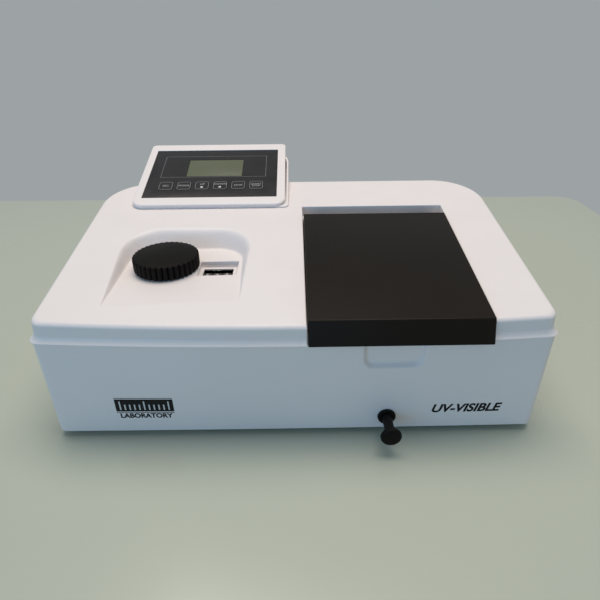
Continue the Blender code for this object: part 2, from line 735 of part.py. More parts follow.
# ---------------------------------------------------------------- wavelength knob and its drives


def gear_outline(scale, tooth_at):
    """A bevel gear's outline of four points a tooth; tooth_at is the angle of one tooth's middle."""
    pitch = 2 * math.pi / GEAR_TEETH
    tip = (GEAR_PITCH_RADIUS + 1.1) * scale
    root = (GEAR_PITCH_RADIUS - 1.5) * scale
    points = []
    for i in range(GEAR_TEETH):
        middle = tooth_at + i * pitch
        for radius, share in ((root, -0.2), (tip, -0.12), (tip, 0.12), (root, 0.2)):
            angle = middle + share * pitch
            points.append((radius * math.cos(angle), radius * math.sin(angle)))
    return points


def gear_circle(radius, tooth_at):
    """A round ring with the same points per tooth as a gear outline."""
    pitch = 2 * math.pi / GEAR_TEETH
    points = []
    for i in range(GEAR_TEETH):
        for share in (-0.2, -0.12, 0.12, 0.2):
            angle = tooth_at + (i + share) * pitch
            points.append((radius * math.cos(angle), radius * math.sin(angle)))
    return points


def bevel_gear_rings(axis, apex, side, tooth_at, bore):
    """Rings of a bevel gear that faces its apex; side is +1 or -1 along the axis."""
    outer = GEAR_PITCH_RADIUS * side
    inner = outer * GEAR_INNER_SCALE
    hub_end = outer + 3.2 * side
    return [
        ring_at(axis, gear_circle(bore, tooth_at), inner, apex),
        ring_at(axis, gear_outline(GEAR_INNER_SCALE, tooth_at), inner, apex),
        ring_at(axis, gear_outline(1.0, tooth_at), outer, apex),
        ring_at(axis, gear_circle(6.0, tooth_at), outer, apex),
        ring_at(axis, gear_circle(6.0, tooth_at), hub_end, apex),
        ring_at(axis, gear_circle(bore, tooth_at), hub_end, apex),
    ]


def fluted_outline(radius, depth):
    points = []
    for i in range(KNOB_FLUTES * 2):
        angle = math.pi * i / KNOB_FLUTES
        reach = radius - (depth if i % 2 else 0.0)
        points.append((reach * math.cos(angle), reach * math.sin(angle)))
    return points


def wavelength_knob():
    bottom = POCKET_FLOOR + 1.0
    top = bottom + KNOB_HEIGHT
    centre = (KNOB_X, KNOB_Y, 0.0)
    origin = (KNOB_X, KNOB_Y, bottom)
    axis = add_axis("knob_axis", origin)
    levels = (
        (KNOB_RADIUS - 0.8, 0.9, bottom),
        (KNOB_RADIUS, 1.2, bottom + 1.0),
        (KNOB_RADIUS - 0.4, 1.2, top - 3.2),
        (KNOB_RADIUS - 1.6, 0.6, top - 1.4),
        (KNOB_RADIUS - 3.8, 0.0, top - 0.6),
        (KNOB_RADIUS * 0.5, 0.0, top),
    )
    rings = [ring_at("Z", fluted_outline(radius, depth), z, centre) for radius, depth, z in levels]
    knob = add_piece("wavelength_knob", loft(rings), "black_plastic", origin, axis)
    knob_bore = prism("Z", circle(SHAFT_RADIUS + GAP, 12), bottom - 2.0, top - 4.0, centre)
    combine(knob, knob_bore, "cut_knob_bore")
    smooth(knob, 30.0)

    shaft = prism("Z", circle(SHAFT_RADIUS, 12), SCREW_Z - 12.0, top - 4.5, centre)
    add_piece("knob_shaft", shaft, "steel", origin, axis)
    bushing = [
        (SHAFT_RADIUS + 0.25, POCKET_FLOOR - 5.0),
        (9.0, POCKET_FLOOR - 5.0),
        (9.0, POCKET_FLOOR - POCKET_SKIN - GAP),
        (6.0, POCKET_FLOOR - POCKET_SKIN - GAP),
        (6.0, POCKET_FLOOR),
        (SHAFT_RADIUS + 0.25, POCKET_FLOOR),
    ]
    add_piece("shaft_bushing", turned_ring("Z", bushing, centre, 16), "brass", origin)

    counter_apex = (KNOB_X, KNOB_Y, COUNTER_Z)
    screw_apex = (KNOB_X, KNOB_Y, SCREW_Z)
    bore = SHAFT_RADIUS + GAP
    half_tooth = math.pi / GEAR_TEETH
    upper = loft(bevel_gear_rings("Z", counter_apex, 1, 0.0, bore), closed=True)
    add_piece("counter_drive_gear", upper, "brass", origin, axis)
    lower = loft(bevel_gear_rings("Z", screw_apex, -1, math.pi / 2, bore), closed=True)
    add_piece("screw_drive_gear", lower, "brass", origin, axis)

    spindle_origin = (KNOB_X, KNOB_Y, COUNTER_Z)
    spindle_axis = add_axis("counter_axis", spindle_origin)
    tooth_at = math.pi / 2 + half_tooth
    rings = bevel_gear_rings("X", counter_apex, 1, tooth_at, 1.0)[1:5]
    rings.append(ring_at("X", gear_circle(1.6, tooth_at), GEAR_PITCH_RADIUS + 3.2, counter_apex))
    rings.append(ring_at("X", gear_circle(1.6, tooth_at), -49.2 - KNOB_X, counter_apex))
    add_piece("counter_spindle", loft(rings), "brass", spindle_origin, spindle_axis)

    screw_axis = add_axis("screw_axis", screw_apex)
    # In the Y axis's plane coordinates (z, x) the gear below the apex lies at angle pi.
    tooth_at = math.pi + half_tooth
    rings = bevel_gear_rings("Y", screw_apex, 1, tooth_at, 1.0)[1:5]
    rings.append(ring_at("Y", gear_circle(SHAFT_RADIUS, tooth_at), GEAR_PITCH_RADIUS + 3.2, screw_apex))
    rings.append(ring_at("Y", gear_circle(SHAFT_RADIUS, tooth_at), 176.5 - KNOB_Y, screw_apex))
    add_piece("lead_screw", loft(rings), "steel", screw_apex, screw_axis)


def counter():
    for i, name in enumerate(("drum_hundreds", "drum_tens", "drum_units")):
        x0 = DRUM_LEFT + (DRUM_WIDTH + 1.0) * i
        profile = [(2.0, x0), (DRUM_RADIUS, x0), (DRUM_RADIUS, x0 + DRUM_WIDTH), (2.0, x0 + DRUM_WIDTH)]
        drum = turned_ring("X", profile, (0.0, KNOB_Y, COUNTER_Z), 20)
        origin = (x0, KNOB_Y, COUNTER_Z)
        axis = add_axis(f"{name}_axis", origin)
        smooth(add_piece(name, drum, "black_plastic", origin, axis))
    x0, x1, y0, y1 = WINDOW
    mask_top = POCKET_FLOOR - MASK_DEPTH
    under_pocket = POCKET_FLOOR - POCKET_SKIN - GAP
    block = box((x0 - 2.4, x1 + 2.4, y0 - 2.4, y1 + 2.4, mask_top - 1.5, under_pocket))
    frame = add_piece("counter_frame", block, "white_plastic")
    combine(frame, box((x0 + 0.1, x1 - 0.1, y0 + 0.1, y1 - 0.1, mask_top, 130.0)), "cut_mask_recess")
    combine(frame, box((x0 + 3.4, x1 - 4.6, 81.0, 95.0, 100.0, 130.0)), "cut_digit_slot")
    legs = box(
        (x0 - 2.4, x0 + 0.2, 78.0, 97.0, 99.0, mask_top - 0.5),
        (x1 - 0.2, x1 + 2.4, 78.0, 97.0, 99.0, mask_top - 0.5),
    )
    combine(frame, legs, "join_frame_legs", "UNION")
    holes = prism("X", circle(2.0, 12), x0 - 5.0, x1 + 5.0, (0.0, KNOB_Y, COUNTER_Z))
    combine(frame, holes, "cut_spindle_holes")


def wavelength_drive():
    profile = [
        (99.5, 72.6),
        (178.0, 72.6),
        (178.0, 96.0),
        (174.5, 96.0),
        (174.5, 75.0),
        (103.0, 75.0),
        (103.0, 96.0),
        (99.5, 96.0),
    ]
    frame = add_piece("drive_frame", yz_prism(profile, FRAME_LEFT, FRAME_RIGHT), "aluminium")
    hole = prism("Y", circle(SHAFT_RADIUS + GAP, 12), 90.0, 190.0, (KNOB_X, 0.0, SCREW_Z))
    combine(frame, hole, "cut_screw_bearings")

    nut_origin = (KNOB_X, NUT_Y, SCREW_Z)
    nut_axis = add_axis("nut_axis", nut_origin)
    block = box((KNOB_X - 6.0, KNOB_X + 6.0, NUT_Y - 6.0, NUT_Y + 6.0, SCREW_Z - 6.0, SCREW_Z + 6.0))
    nut = add_piece("screw_nut", block, "brass", nut_origin, nut_axis)
    pin = prism("Z", circle(1.8, 12), 76.4, SCREW_Z - 5.0, (KNOB_X, NUT_Y, 0.0))
    combine(nut, pin, "join_nut_pin", "UNION")
    nut_bore = prism("Y", circle(SHAFT_RADIUS + 0.4, 12), 100.0, 170.0, (KNOB_X, 0.0, SCREW_Z))
    combine(nut, nut_bore, "cut_nut_bore")

    pivot = (PIVOT_X, NUT_Y, 0.0)
    arm_origin = (PIVOT_X, NUT_Y, 78.0)
    arm_axis = add_axis("grating_axis", arm_origin)
    bar = box((KNOB_X - 6.5, PIVOT_X + 4.0, NUT_Y - 5.0, NUT_Y + 5.0, 77.0, 80.5))
    arm = add_piece("sine_arm", bar, "aluminium", arm_origin, arm_axis)
    slot = box((KNOB_X - 4.6, KNOB_X + 3.2, NUT_Y - 2.5, NUT_Y + 2.5, 70.0, 90.0))
    combine(arm, slot, "cut_arm_slot")
    shaft = turned("Z", [(3.0, 61.0), (3.0, 76.5), (8.0, 76.5), (8.0, 81.0)], pivot, 12)
    combine(arm, shaft, "join_arm_shaft", "UNION")
    grating = box((PIVOT_X - 3.0, PIVOT_X + 3.0, NUT_Y - 13.0, NUT_Y + 13.0, 31.0, 60.6))
    add_piece("grating", grating, "mirror", arm_origin, arm_axis)


# ---------------------------------------------------------------- optics, light sources and electronics


def monochromator():
    x0, x1, y0, y1 = MONO
    walls = add_piece("monochromator_box", box((x0, x1, y0, y1, BENCH_TOP + GAP, MONO_TOP)), "black_anodised")
    combine(walls, box((x0 + 3.0, x1 - 3.0, y0 + 3.0, y1 - 3.0, 15.0, 90.0)), "cut_mono_inside")
    ports = prism("X", circle(4.0, 12), x1 - 8.0, x1 + 8.0, (0.0, BEAM_Y, BEAM_Z))
    combine(walls, ports, "cut_exit_port")
    entrance = prism("X", circle(4.0, 12), x0 - 8.0, x0 + 8.0, (0.0, MIRROR_Y, BEAM_Z))
    combine(walls, entrance, "cut_entrance_port")
    cover = add_piece("monochromator_cover", box((x0, x1, y0, y1, MONO_TOP + GAP, 72.3)), "black_anodised")
    combine(cover, prism("Z", circle(3.6, 12), 60.0, 80.0, (PIVOT_X, NUT_Y, 0.0)), "cut_pivot_hole")
    slits = (("exit_slit", x1 + GAP, x1 + 1.8, BEAM_Y), ("entrance_slit", x0 - 1.8, x0 - GAP, MIRROR_Y))
    for name, low, high, y in slits:
        plate = add_piece(name, box((low, high, y - 10.0, y + 10.0, BEAM_Z - 10.0, BEAM_Z + 10.0)), "steel")
        slit = box((low - 2.0, high + 2.0, y - 0.5, y + 0.5, BEAM_Z - 4.0, BEAM_Z + 4.0))
        combine(plate, slit, f"cut_{name}")
    collimator = [(0.5, x1 - 6.6), (14.0, x1 - 8.0), (14.0, x1 - 3.5), (0.5, x1 - 3.5)]
    mirror = turned("X", collimator, (0.0, MIRROR_Y, BEAM_Z), 20)
    smooth(add_piece("collimating_mirror", mirror, "mirror", (x1 - 6.0, MIRROR_Y, BEAM_Z)))
    focus = [(0.5, x0 + 3.5), (12.0, x0 + 3.5), (12.0, x0 + 8.0), (0.5, x0 + 6.8)]
    mirror = turned("X", focus, (0.0, BEAM_Y + 4.0, BEAM_Z), 20)
    smooth(add_piece("focusing_mirror", mirror, "mirror", (x0 + 6.0, BEAM_Y + 4.0, BEAM_Z)))


def light_sources():
    seat = BENCH_TOP + GAP
    tungsten = [(10.0, seat), (10.0, 26.0), (4.0, 27.0), (4.5, 31.0), (6.2, 36.0), (6.2, 50.0), (2.5, 56.0)]
    lamp = turned("Z", tungsten, (MIRROR_X, 205.0, 0.0), 16)
    smooth(add_piece("tungsten_lamp", lamp, "lamp_glass", (MIRROR_X, 205.0, BENCH_TOP)))
    deuterium = [(15.0, seat), (15.0, 18.0), (13.0, 19.0), (13.0, 66.0), (9.0, 72.0), (3.0, 75.0)]
    lamp = turned("Z", deuterium, (MIRROR_X, 98.0, 0.0), 16)
    smooth(add_piece("deuterium_lamp", lamp, "lamp_glass", (MIRROR_X, 98.0, BENCH_TOP)))

    origin = (MIRROR_X, MIRROR_Y, BEAM_Z)
    axis = add_axis("mirror_axis", origin)
    half_width = 11.0
    half_thickness = 1.6
    # The plate's long side runs down to the right at 45 degrees.
    diagonal = math.sqrt(0.5)
    corners = []
    for side, face in ((-1, -1), (1, -1), (1, 1), (-1, 1)):
        reach = half_width * side * diagonal
        depth = half_thickness * face * diagonal
        corners.append((depth + reach, depth - reach))
    plate = prism("Z", corners, 33.0, 57.0, (MIRROR_X, MIRROR_Y, 0.0))
    mirror = add_piece("source_mirror", plate, "mirror", origin, axis)
    post = prism("Z", circle(2.5, 12), BENCH_TOP + 0.5, 34.0, (MIRROR_X, MIRROR_Y, 0.0))
    combine(mirror, post, "join_mirror_post", "UNION")


def electronics():
    add_piece("optical_bench", box((-190.0, 190.0, 14.0, 236.0, FLOOR_TOP + GAP, BENCH_TOP)), "aluminium")
    case = box((150.0, 182.0, BEAM_Y - 20.0, BEAM_Y + 20.0, BENCH_TOP + GAP, MONO_TOP))
    detector = add_piece("detector_housing", case, "black_anodised")
    combine(detector, prism("X", circle(5.0, 12), 140.0, 168.0, (0.0, BEAM_Y, BEAM_Z)), "cut_detector_port")
    board = add_piece("main_board", box((-118.0, 40.0, 188.0, 234.0, 17.0, 18.6)), "circuit_board")
    chips = box(
        (-100.0, -80.0, 200.0, 220.0, 18.0, 22.0),
        (-60.0, -46.0, 196.0, 224.0, 18.0, 21.0),
        (-20.0, 20.0, 222.0, 231.0, 18.0, 30.0),
        (4.0, 14.0, 196.0, 206.0, 18.0, 33.0),
    )
    combine(board, chips, "join_board_chips", "UNION")
    add_piece("power_supply", box((56.0, 136.0, 186.0, 226.0, BENCH_TOP + GAP, 52.0)), "zinc_case")


def rear_fittings():
    inlet = add_piece("power_inlet", rear_box(INLET_X, 13.5, SOCKET_Z, 10.0, -22.0, 1.0), "black_plastic")
    combine(inlet, rear_box(INLET_X, 16.0, SOCKET_Z, 12.5, GAP, 3.0), "join_inlet_flange", "UNION")
    combine(inlet, rear_box(INLET_X, 11.8, SOCKET_Z, 8.2, -15.0, 8.0), "cut_inlet_mouth")
    for name, x, z in (("live", -7.0, 0.0), ("earth", 0.0, 2.5), ("neutral", 7.0, 0.0)):
        blade = rear_box(INLET_X + x, 1.0, SOCKET_Z + z, 2.0, -16.0, -5.0)
        combine(inlet, blade, f"join_{name}_blade", "UNION")

    switch = add_piece("switch_body", rear_box(SWITCH_X, 9.5, SOCKET_Z, 6.5, -16.0, 1.0), "black_plastic")
    combine(switch, rear_box(SWITCH_X, 11.0, SOCKET_Z, 8.0, GAP, 2.0), "join_switch_flange", "UNION")
    combine(switch, rear_box(SWITCH_X, 8.2, SOCKET_Z, 5.2, -9.0, 6.0), "cut_switch_well")
    pivot = (SWITCH_X, BASE_BACK - 2.0, SOCKET_Z)
    axis = add_axis("rocker_axis", pivot)
    # Two faces meet in a shallow valley over the pivot; the switched-on side is pressed in.
    outline = [(-7.4, -1.2), (0.0, -4.8), (7.4, 0.6), (7.0, 4.6), (0.0, 3.2), (-6.6, 2.9)]
    rocker = prism("Z", outline, -4.9, 4.9, pivot)
    add_piece("power_rocker", rocker, "black_plastic", pivot, axis)


def cooling_fan():
    back = BASE_BACK - WALL - 0.8
    case = box((FAN_X - 24.0, FAN_X + 24.0, back - 14.0, back, FAN_Z - 24.0, FAN_Z + 24.0))
    frame = add_piece("fan_frame", case, "black_plastic")
    combine(frame, prism("Y", circle(22.0, 20), back - 20.0, back + 5.0, (FAN_X, 0.0, FAN_Z)), "cut_fan_duct")
    spider = box((FAN_X - 23.0, FAN_X + 23.0, back - 13.8, back - 12.0, FAN_Z - 2.0, FAN_Z + 2.0))
    combine(frame, spider, "join_fan_spider", "UNION")

    blades = 7
    outline = []
    for i in range(blades):
        middle = 2 * math.pi * i / blades
        for radius, offset in ((9.0, -0.16), (20.5, -0.05), (20.5, 0.13), (9.0, 0.16)):
            angle = middle + offset
            outline.append((radius * math.cos(angle), radius * math.sin(angle)))
    origin = (FAN_X, back - 6.0, FAN_Z)
    axis = add_axis("fan_axis", origin)
    rotor = prism("Y", outline, -4.5, 4.5, origin)
    add_piece("fan_rotor", rotor, "black_plastic", origin, axis)


def build():
    clear_scene()
    base_housing()
    top_cover()
    feet()
    display_head()
    sample_lid()
    sample_compartment()
    cell_carriage()
    wavelength_knob()
    counter()
    wavelength_drive()
    monochromator()
    light_sources()
    electronics()
    rear_fittings()
    cooling_fan()


build()
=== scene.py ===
import json
import math

import bmesh
import bpy
from mathutils import Matrix, Vector, geometry


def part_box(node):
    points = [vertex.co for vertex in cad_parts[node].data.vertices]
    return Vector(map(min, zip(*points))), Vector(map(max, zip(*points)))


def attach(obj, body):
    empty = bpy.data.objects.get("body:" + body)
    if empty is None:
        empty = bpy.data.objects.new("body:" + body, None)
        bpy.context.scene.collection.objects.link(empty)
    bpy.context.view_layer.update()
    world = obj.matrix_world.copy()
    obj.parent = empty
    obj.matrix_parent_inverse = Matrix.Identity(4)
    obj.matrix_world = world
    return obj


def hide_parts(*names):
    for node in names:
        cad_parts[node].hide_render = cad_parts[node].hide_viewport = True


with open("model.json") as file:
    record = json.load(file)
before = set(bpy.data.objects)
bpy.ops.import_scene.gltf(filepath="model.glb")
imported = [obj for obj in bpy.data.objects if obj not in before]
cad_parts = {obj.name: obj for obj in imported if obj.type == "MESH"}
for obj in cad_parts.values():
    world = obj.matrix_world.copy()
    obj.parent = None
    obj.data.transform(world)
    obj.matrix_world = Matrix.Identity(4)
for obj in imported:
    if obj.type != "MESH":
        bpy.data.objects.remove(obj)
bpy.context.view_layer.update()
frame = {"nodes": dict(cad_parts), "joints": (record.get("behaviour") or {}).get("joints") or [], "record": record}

# The looks of a bench spectrophotometer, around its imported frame.
# Shapes are drawn in millimetres: X along the front, Y from the front wall backwards,
# Z up from the bench.

MM = 0.001
FLANGE_REACH = 11.5
FRONT_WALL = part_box("top_cover")[0].y / MM + FLANGE_REACH


def box_mm(node):
    """A CAD node's lowest and highest corners in millimetres, Y counted from the front wall."""
    low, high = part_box(node)
    return (
        Vector((low.x / MM, low.y / MM - FRONT_WALL, low.z / MM)),
        Vector((high.x / MM, high.y / MM - FRONT_WALL, high.z / MM)),
    )


def middle_mm(node):
    """The middle of a CAD node's box in the same millimetres."""
    return [(low + high) / 2 for low, high in zip(*box_mm(node))]


# base housing, with the finger recess under the lid as x0, x1, z0, z1
BASE_LOW, BASE_HIGH = box_mm("base_housing")
BASE_TOP = BASE_HIGH.z
BASE_BACK = 254.0
BASE_FRONT_CORNER = 8.0
BASE_REAR_CORNER = 46.0
BASE_EDGE = 1.3
WALL = 3.0
RECESS = (54.8, 103.9, 74.4, BASE_TOP + 12.0)

# top cover
TAN_SLOPE = math.tan(math.radians(8.2))
TOP_AT_FRONT = 118.3
FLANGE_TOP = 103.6
COVER_BOW = 8.9
COVER_SKIN = 2.8
COVER_FRONT_CORNER = 10.0
EDGE_RADIUS = 3.4

# lid, its tray and its hinge
LID_LOW, LID_HIGH = box_mm("sample_lid")
LID_FRONT_TOP = -5.0
LID_BACK = 163.1
BAY_LOW, BAY_HIGH = box_mm("sample_compartment")
HINGE = next(joint["pos_m"] for joint in frame["joints"] if joint["name"] == "lid_hinge")
HINGE_Y = HINGE[1] / MM - FRONT_WALL
HINGE_Z = HINGE[2] / MM
PIN_HOLE = 2.3
TRAY_LEFT = LID_LOW.x - 1.0
TRAY_RIGHT = LID_HIGH.x + 1.0
TRAY_BACK = 183.5
TRAY_FLOOR = 108.0

# wavelength knob, the pocket that it sits in and the counter's window as x0, x1, y0, y1
KNOB_LOW, KNOB_HIGH = box_mm("wavelength_knob")
KNOB_X, KNOB_Y, _ = middle_mm("wavelength_knob")
POCKET_FLOOR = KNOB_LOW.z - 1.0
POCKET_LEFT = -155.0
POCKET_RIGHT = -48.0
POCKET_BACK = 127.5
POCKET_CORNER = 28.0
POCKET_SPLAY = 0.045
LEFT_LEAN = 0.40
RIGHT_LEAN = 0.50
BACK_LEAN = 0.66
WINDOW = (-87.0, -51.6, 70.6, 99.0)

# display head: the panel's own frame, and outlines in it as x0, x1, low, high
PANEL_TILT = math.radians(15.2)
PANEL_Y = 194.2
PANEL_Z = 152.3
PANEL = (-170.8, -8.9, -17.2, 114.9)
LOW_SIDE_INSET = 3.0
KEYPAD = (-162.0, -18.2, 0.0, 100.6)
LCD = (-120.8, -57.8, 43.0, 79.0)
PANEL_LINE = (-149.4, -31.0, 41.2, 87.0)
GAP = 0.3
KEY_FIRST_X = -140.1
KEY_PITCH = 19.85
KEY_WIDTH = 15.6
KEY_LENGTH = 16.0
KEY_MIDDLE = 23.4
KEY_WORDS = ("ESC", "MODE", "UP", "DOWN", "SAVE", "START\nSTOP")
DOTTED_KEYS = (2, 3)

# number drums with the digit that each shows at rest
DRUMS = (("hundreds", 5), ("tens", 4), ("units", 6))

# scale printed on the front
SCALE_LEFT = -152.6
SCALE_RIGHT = -103.4
SCALE_FIRST_MARK = -148.6
SCALE_PITCH = 4.12
SCALE_MARKS = 11
SCALE_MARK_FOOT = 31.2

# area lights: name, place, target, size, power, colour
LIGHTS = (
    ("ceiling_light", (0.05, 0.22, 2.2), (0.0, 0.1, 0.1), (1.9, 1.1), 38.0, (1.0, 0.89, 0.79)),
    ("front_fill", (-1.5, -1.8, 1.2), (0.0, 0.0, 0.1), (2.0, 1.4), 4.6, (0.62, 0.82, 1.0)),
    ("low_fill", (-1.3, -2.3, 0.4), (0.0, 0.0, 0.05), (2.2, 0.6), 9.8, (0.05, 0.45, 1.0)),
)


def new_object(name, data):
    made = bpy.data.objects.new(name, data)
    bpy.context.scene.collection.objects.link(made)
    return made


def top_height(y):
    """Height of the cover's sloping top."""
    return TOP_AT_FRONT + TAN_SLOPE * y


# ---- camera, light and floor


def add_camera():
    data = bpy.data.cameras.new("camera")
    data.lens = 30.6
    data.sensor_width = 36.0
    data.shift_y = -0.0025
    camera = new_object("camera", data)
    heading = Matrix.Rotation(math.radians(-0.48), 4, "Z")
    pitch = Matrix.Rotation(math.radians(90 - 29.47), 4, "X")
    roll = Matrix.Rotation(math.radians(-0.55), 4, "Z")
    aim = heading @ pitch @ roll
    camera.matrix_world = Matrix.Translation((0.0016, -0.4725, 0.3255)) @ aim
    bpy.context.scene.camera = camera


def add_area_light(name, place, target, size, power, color):
    data = bpy.data.lights.new(name, "AREA")
    data.shape = "RECTANGLE"
    data.size, data.size_y = size
    data.energy = power
    data.color = color
    light = new_object(name, data)
    light.location = place
    light.rotation_euler = (Vector(target) - Vector(place)).to_track_quat("-Z", "Y").to_euler()


def add_studio():
    """The lamps, and a room whose walls look paler than the light that they give."""
    for light in LIGHTS:
        add_area_light(*light)
    world = bpy.data.worlds.new("room")
    bpy.context.scene.world = world
    world.use_nodes = True
    nodes = world.node_tree.nodes
    links = world.node_tree.links
    lighting = nodes["Background"]
    fill(lighting, {"Color": (0.52, 0.71, 0.86, 1.0), "Strength": 0.40})
    wall = nodes.new("ShaderNodeBackground")
    fill(wall, {"Color": (0.337, 0.366, 0.376, 1.0)})
    mix = nodes.new("ShaderNodeMixShader")
    path = nodes.new("ShaderNodeLightPath")
    seen = nodes.new("ShaderNodeMath")
    seen.operation = "MAXIMUM"
    links.new(path.outputs["Is Camera Ray"], seen.inputs[0])
    links.new(path.outputs["Is Glossy Ray"], seen.inputs[1])
    links.new(seen.outputs["Value"], mix.inputs["Fac"])
    links.new(lighting.outputs["Background"], mix.inputs[1])
    links.new(wall.outputs["Background"], mix.inputs[2])
    links.new(mix.outputs["Shader"], nodes["World Output"].inputs["Surface"])
    bpy.context.scene.view_settings.view_transform = "Standard"


# ---- materials


def fill(node, values):
    """Sets a node's sockets by name."""
    for name, value in values.items():
        node.inputs[name].default_value = value


class Finish:
    """A Principled material whose colour, roughness and fine relief vary over the surface."""

    def __init__(self, name, roughness, metallic=0.0, transmission=0.0, specular=0.5):
        self.material = bpy.data.materials.new(name)
        self.material.use_nodes = True
        self.tree = self.material.node_tree
        self.shader = self.tree.nodes["Principled BSDF"]
        fill(self.shader, {
            "Roughness": roughness,
            "Metallic": metallic,
            "Specular IOR Level": specular,
            "Transmission Weight": transmission,
        })
        self.place = self.node("ShaderNodeTexCoord").outputs["Object"]

    def node(self, kind):
        return self.tree.nodes.new(kind)

    def link(self, output, socket):
        self.tree.links.new(output, socket)

    def stretched(self, x, y, z):
        mapping = self.node("ShaderNodeMapping")
        fill(mapping, {"Scale": (x, y, z)})
        self.link(self.place, mapping.inputs["Vector"])
        return mapping.outputs["Vector"]

    def noise(self, scale, detail=3.0, place=None):
        noise = self.node("ShaderNodeTexNoise")
        fill(noise, {"Scale": scale, "Detail": detail})
        self.link(place or self.place, noise.inputs["Vector"])
        return noise.outputs["Fac"]

    def ramp(self, value, low, high, bottom=0.3, top=0.7):
        spread = self.node("ShaderNodeMapRange")
        fill(spread, {"From Min": bottom, "From Max": top, "To Min": low, "To Max": high})
        self.link(value, spread.inputs["Value"])
        return spread.outputs["Result"]

    def mix(self, share, first, second):
        mix = self.node("ShaderNodeMix")
        mix.data_type = "RGBA"
        self.link(share, mix.inputs["Factor"])
        for socket, value in ((mix.inputs[6], first), (mix.inputs[7], second)):
            if isinstance(value, tuple):
                socket.default_value = (*value, 1.0)
            else:
                self.link(value, socket)
        return mix.outputs[2]

    def worn(self, color, edge, start=0.53, end=0.62):
        """The colour turned towards another along convex edges: edge wear, together with a painted highlight where
        edges catch the light.
        """
        surface = self.node("ShaderNodeNewGeometry")
        share = self.ramp(surface.outputs["Pointiness"], 0.0, 1.0, start, end)
        return self.mix(share, color, edge)

    def colored(self, color):
        self.link(color, self.shader.inputs["Base Color"])

    def rough(self, value):
        self.link(value, self.shader.inputs["Roughness"])

    def clouded(self, low, high, scale):
        """Lets the colour drift between two over soft noise."""
        self.colored(self.mix(self.noise(scale), low, high))

    def patchy(self, low, high, scale, detail=3.0):
        """Lets the roughness drift between two values over soft noise."""
        self.rough(self.ramp(self.noise(scale, detail), low, high))

    def relief(self, height, depth):
        bump = self.node("ShaderNodeBump")
        fill(bump, {"Distance": depth, "Strength": 1.0})
        self.link(height, bump.inputs["Height"])
        self.link(bump.outputs["Normal"], self.shader.inputs["Normal"])


def shade(color, factor):
    return tuple(channel * factor for channel in color)


def moulded(name, color, roughness, grain, depth, vary, edge=None, specular=0.5):
    """Moulded plastic: slow colour drift, handled patches and a fine eroded grain."""
    finish = Finish(name, roughness, specular=specular)
    drift = finish.ramp(finish.noise(14.0), 0.0, 1.0)
    base = finish.mix(drift, shade(color, 1 - vary), shade(color, 1 + vary))
    # Optional edge colour: convex edges lightened, as wear and as a painted highlight.
    if edge:
        base = finish.worn(base, edge)
    finish.colored(base)
    finish.patchy(roughness - 0.05, roughness + 0.06, 38.0, 5.0)
    finish.relief(finish.noise(grain, 2.0), depth)
    return finish.material


def brushed(name, color, roughness, along_axis=0):
    """Machined or ground metal with fine marks along one axis."""
    finish = Finish(name, roughness, metallic=1.0)
    scale = [900.0, 900.0, 900.0]
    scale[along_axis] = 25.0
    marks = finish.noise(1.0, 4.0, finish.stretched(*scale))
    finish.clouded(shade(color, 0.88), shade(color, 1.08), 22.0)
    finish.rough(finish.ramp(marks, roughness - 0.08, roughness + 0.12))
    finish.relief(marks, 0.00002)
    return finish.material


def lid_black():
    """Smooth dark moulding with faint rubbed patches and fine wiping marks."""
    finish = Finish("lid_black", 0.36, specular=0.10)
    finish.colored(finish.mix(
        finish.ramp(finish.noise(9.0, 4.0), 0.0, 1.0),
        (0.0110, 0.0081, 0.0063),
        (0.0142, 0.0107, 0.0084),
    ))
    wipes = finish.noise(1.0, 3.0, finish.stretched(520.0, 140.0, 520.0))
    finish.rough(finish.ramp(wipes, 0.35, 0.385))
    finish.relief(finish.noise(1700.0, 2.0), 0.000012)
    return finish.material


def dark_plastic(name, roughness):
    """Near-black moulding, greyer along its convex edges: part handling wear, part painted highlight."""
    # Edge colour: wear plus a painted highlight along convex edges.
    edge = (0.018, 0.016, 0.015)
    return moulded(name, (0.0040, 0.0032, 0.0029), roughness, 1200.0, 0.00003, 0.15, edge, 0.10)


def foam():
    """Open-looking foam strip."""
    finish = Finish("seal_foam", 0.95)
    cells = finish.node("ShaderNodeTexVoronoi")
    fill(cells, {"Scale": 1600.0})
    finish.link(finish.place, cells.inputs["Vector"])
    size = cells.outputs["Distance"]
    finish.colored(finish.mix(size, (0.008, 0.008, 0.008), (0.035, 0.035, 0.035)))
    finish.relief(size, 0.0003)
    return finish.material


def keypad_film():
    """Screen-printed polyester with an orange-peel surface."""
    finish = Finish("keypad_film", 0.36, specular=0.16)
    finish.clouded((0.021, 0.020, 0.021), (0.027, 0.025, 0.027), 30.0)
    finish.patchy(0.28, 0.40, 60.0, 4.0)
    finish.relief(finish.noise(2200.0, 1.0), 0.00002)
    return finish.material


def ink(name, thin, thick, specular=0.5):
    """Printed ink whose cover varies a little."""
    finish = Finish(name, 0.5, specular=specular)
    finish.clouded(thin, thick, 900.0)
    finish.patchy(0.45, 0.58, 300.0)
    return finish.material


def lcd_glass():
    """Olive liquid-crystal panel with faint pixel lines."""
    finish = Finish("lcd_glass", 0.34, specular=0.15)
    drift = finish.ramp(finish.noise(16.0), 0.0, 1.0)
    color = finish.mix(drift, (0.112, 0.120, 0.076), (0.130, 0.139, 0.088))
    split = finish.node("ShaderNodeSeparateXYZ")
    finish.link(finish.stretched(1600.0, 1600.0, 1600.0), split.inputs["Vector"])
    lines = finish.node("ShaderNodeMath")
    lines.operation = "PINGPONG"
    lines.inputs[1].default_value = 0.5
    finish.link(split.outputs["X"], lines.inputs[0])
    line_share = finish.ramp(lines.outputs[0], 0.0, 0.35, 0.0, 0.5)
    finish.colored(finish.mix(line_share, color, (0.136, 0.145, 0.094)))
    finish.patchy(0.30, 0.38, 80.0)
    return finish.material


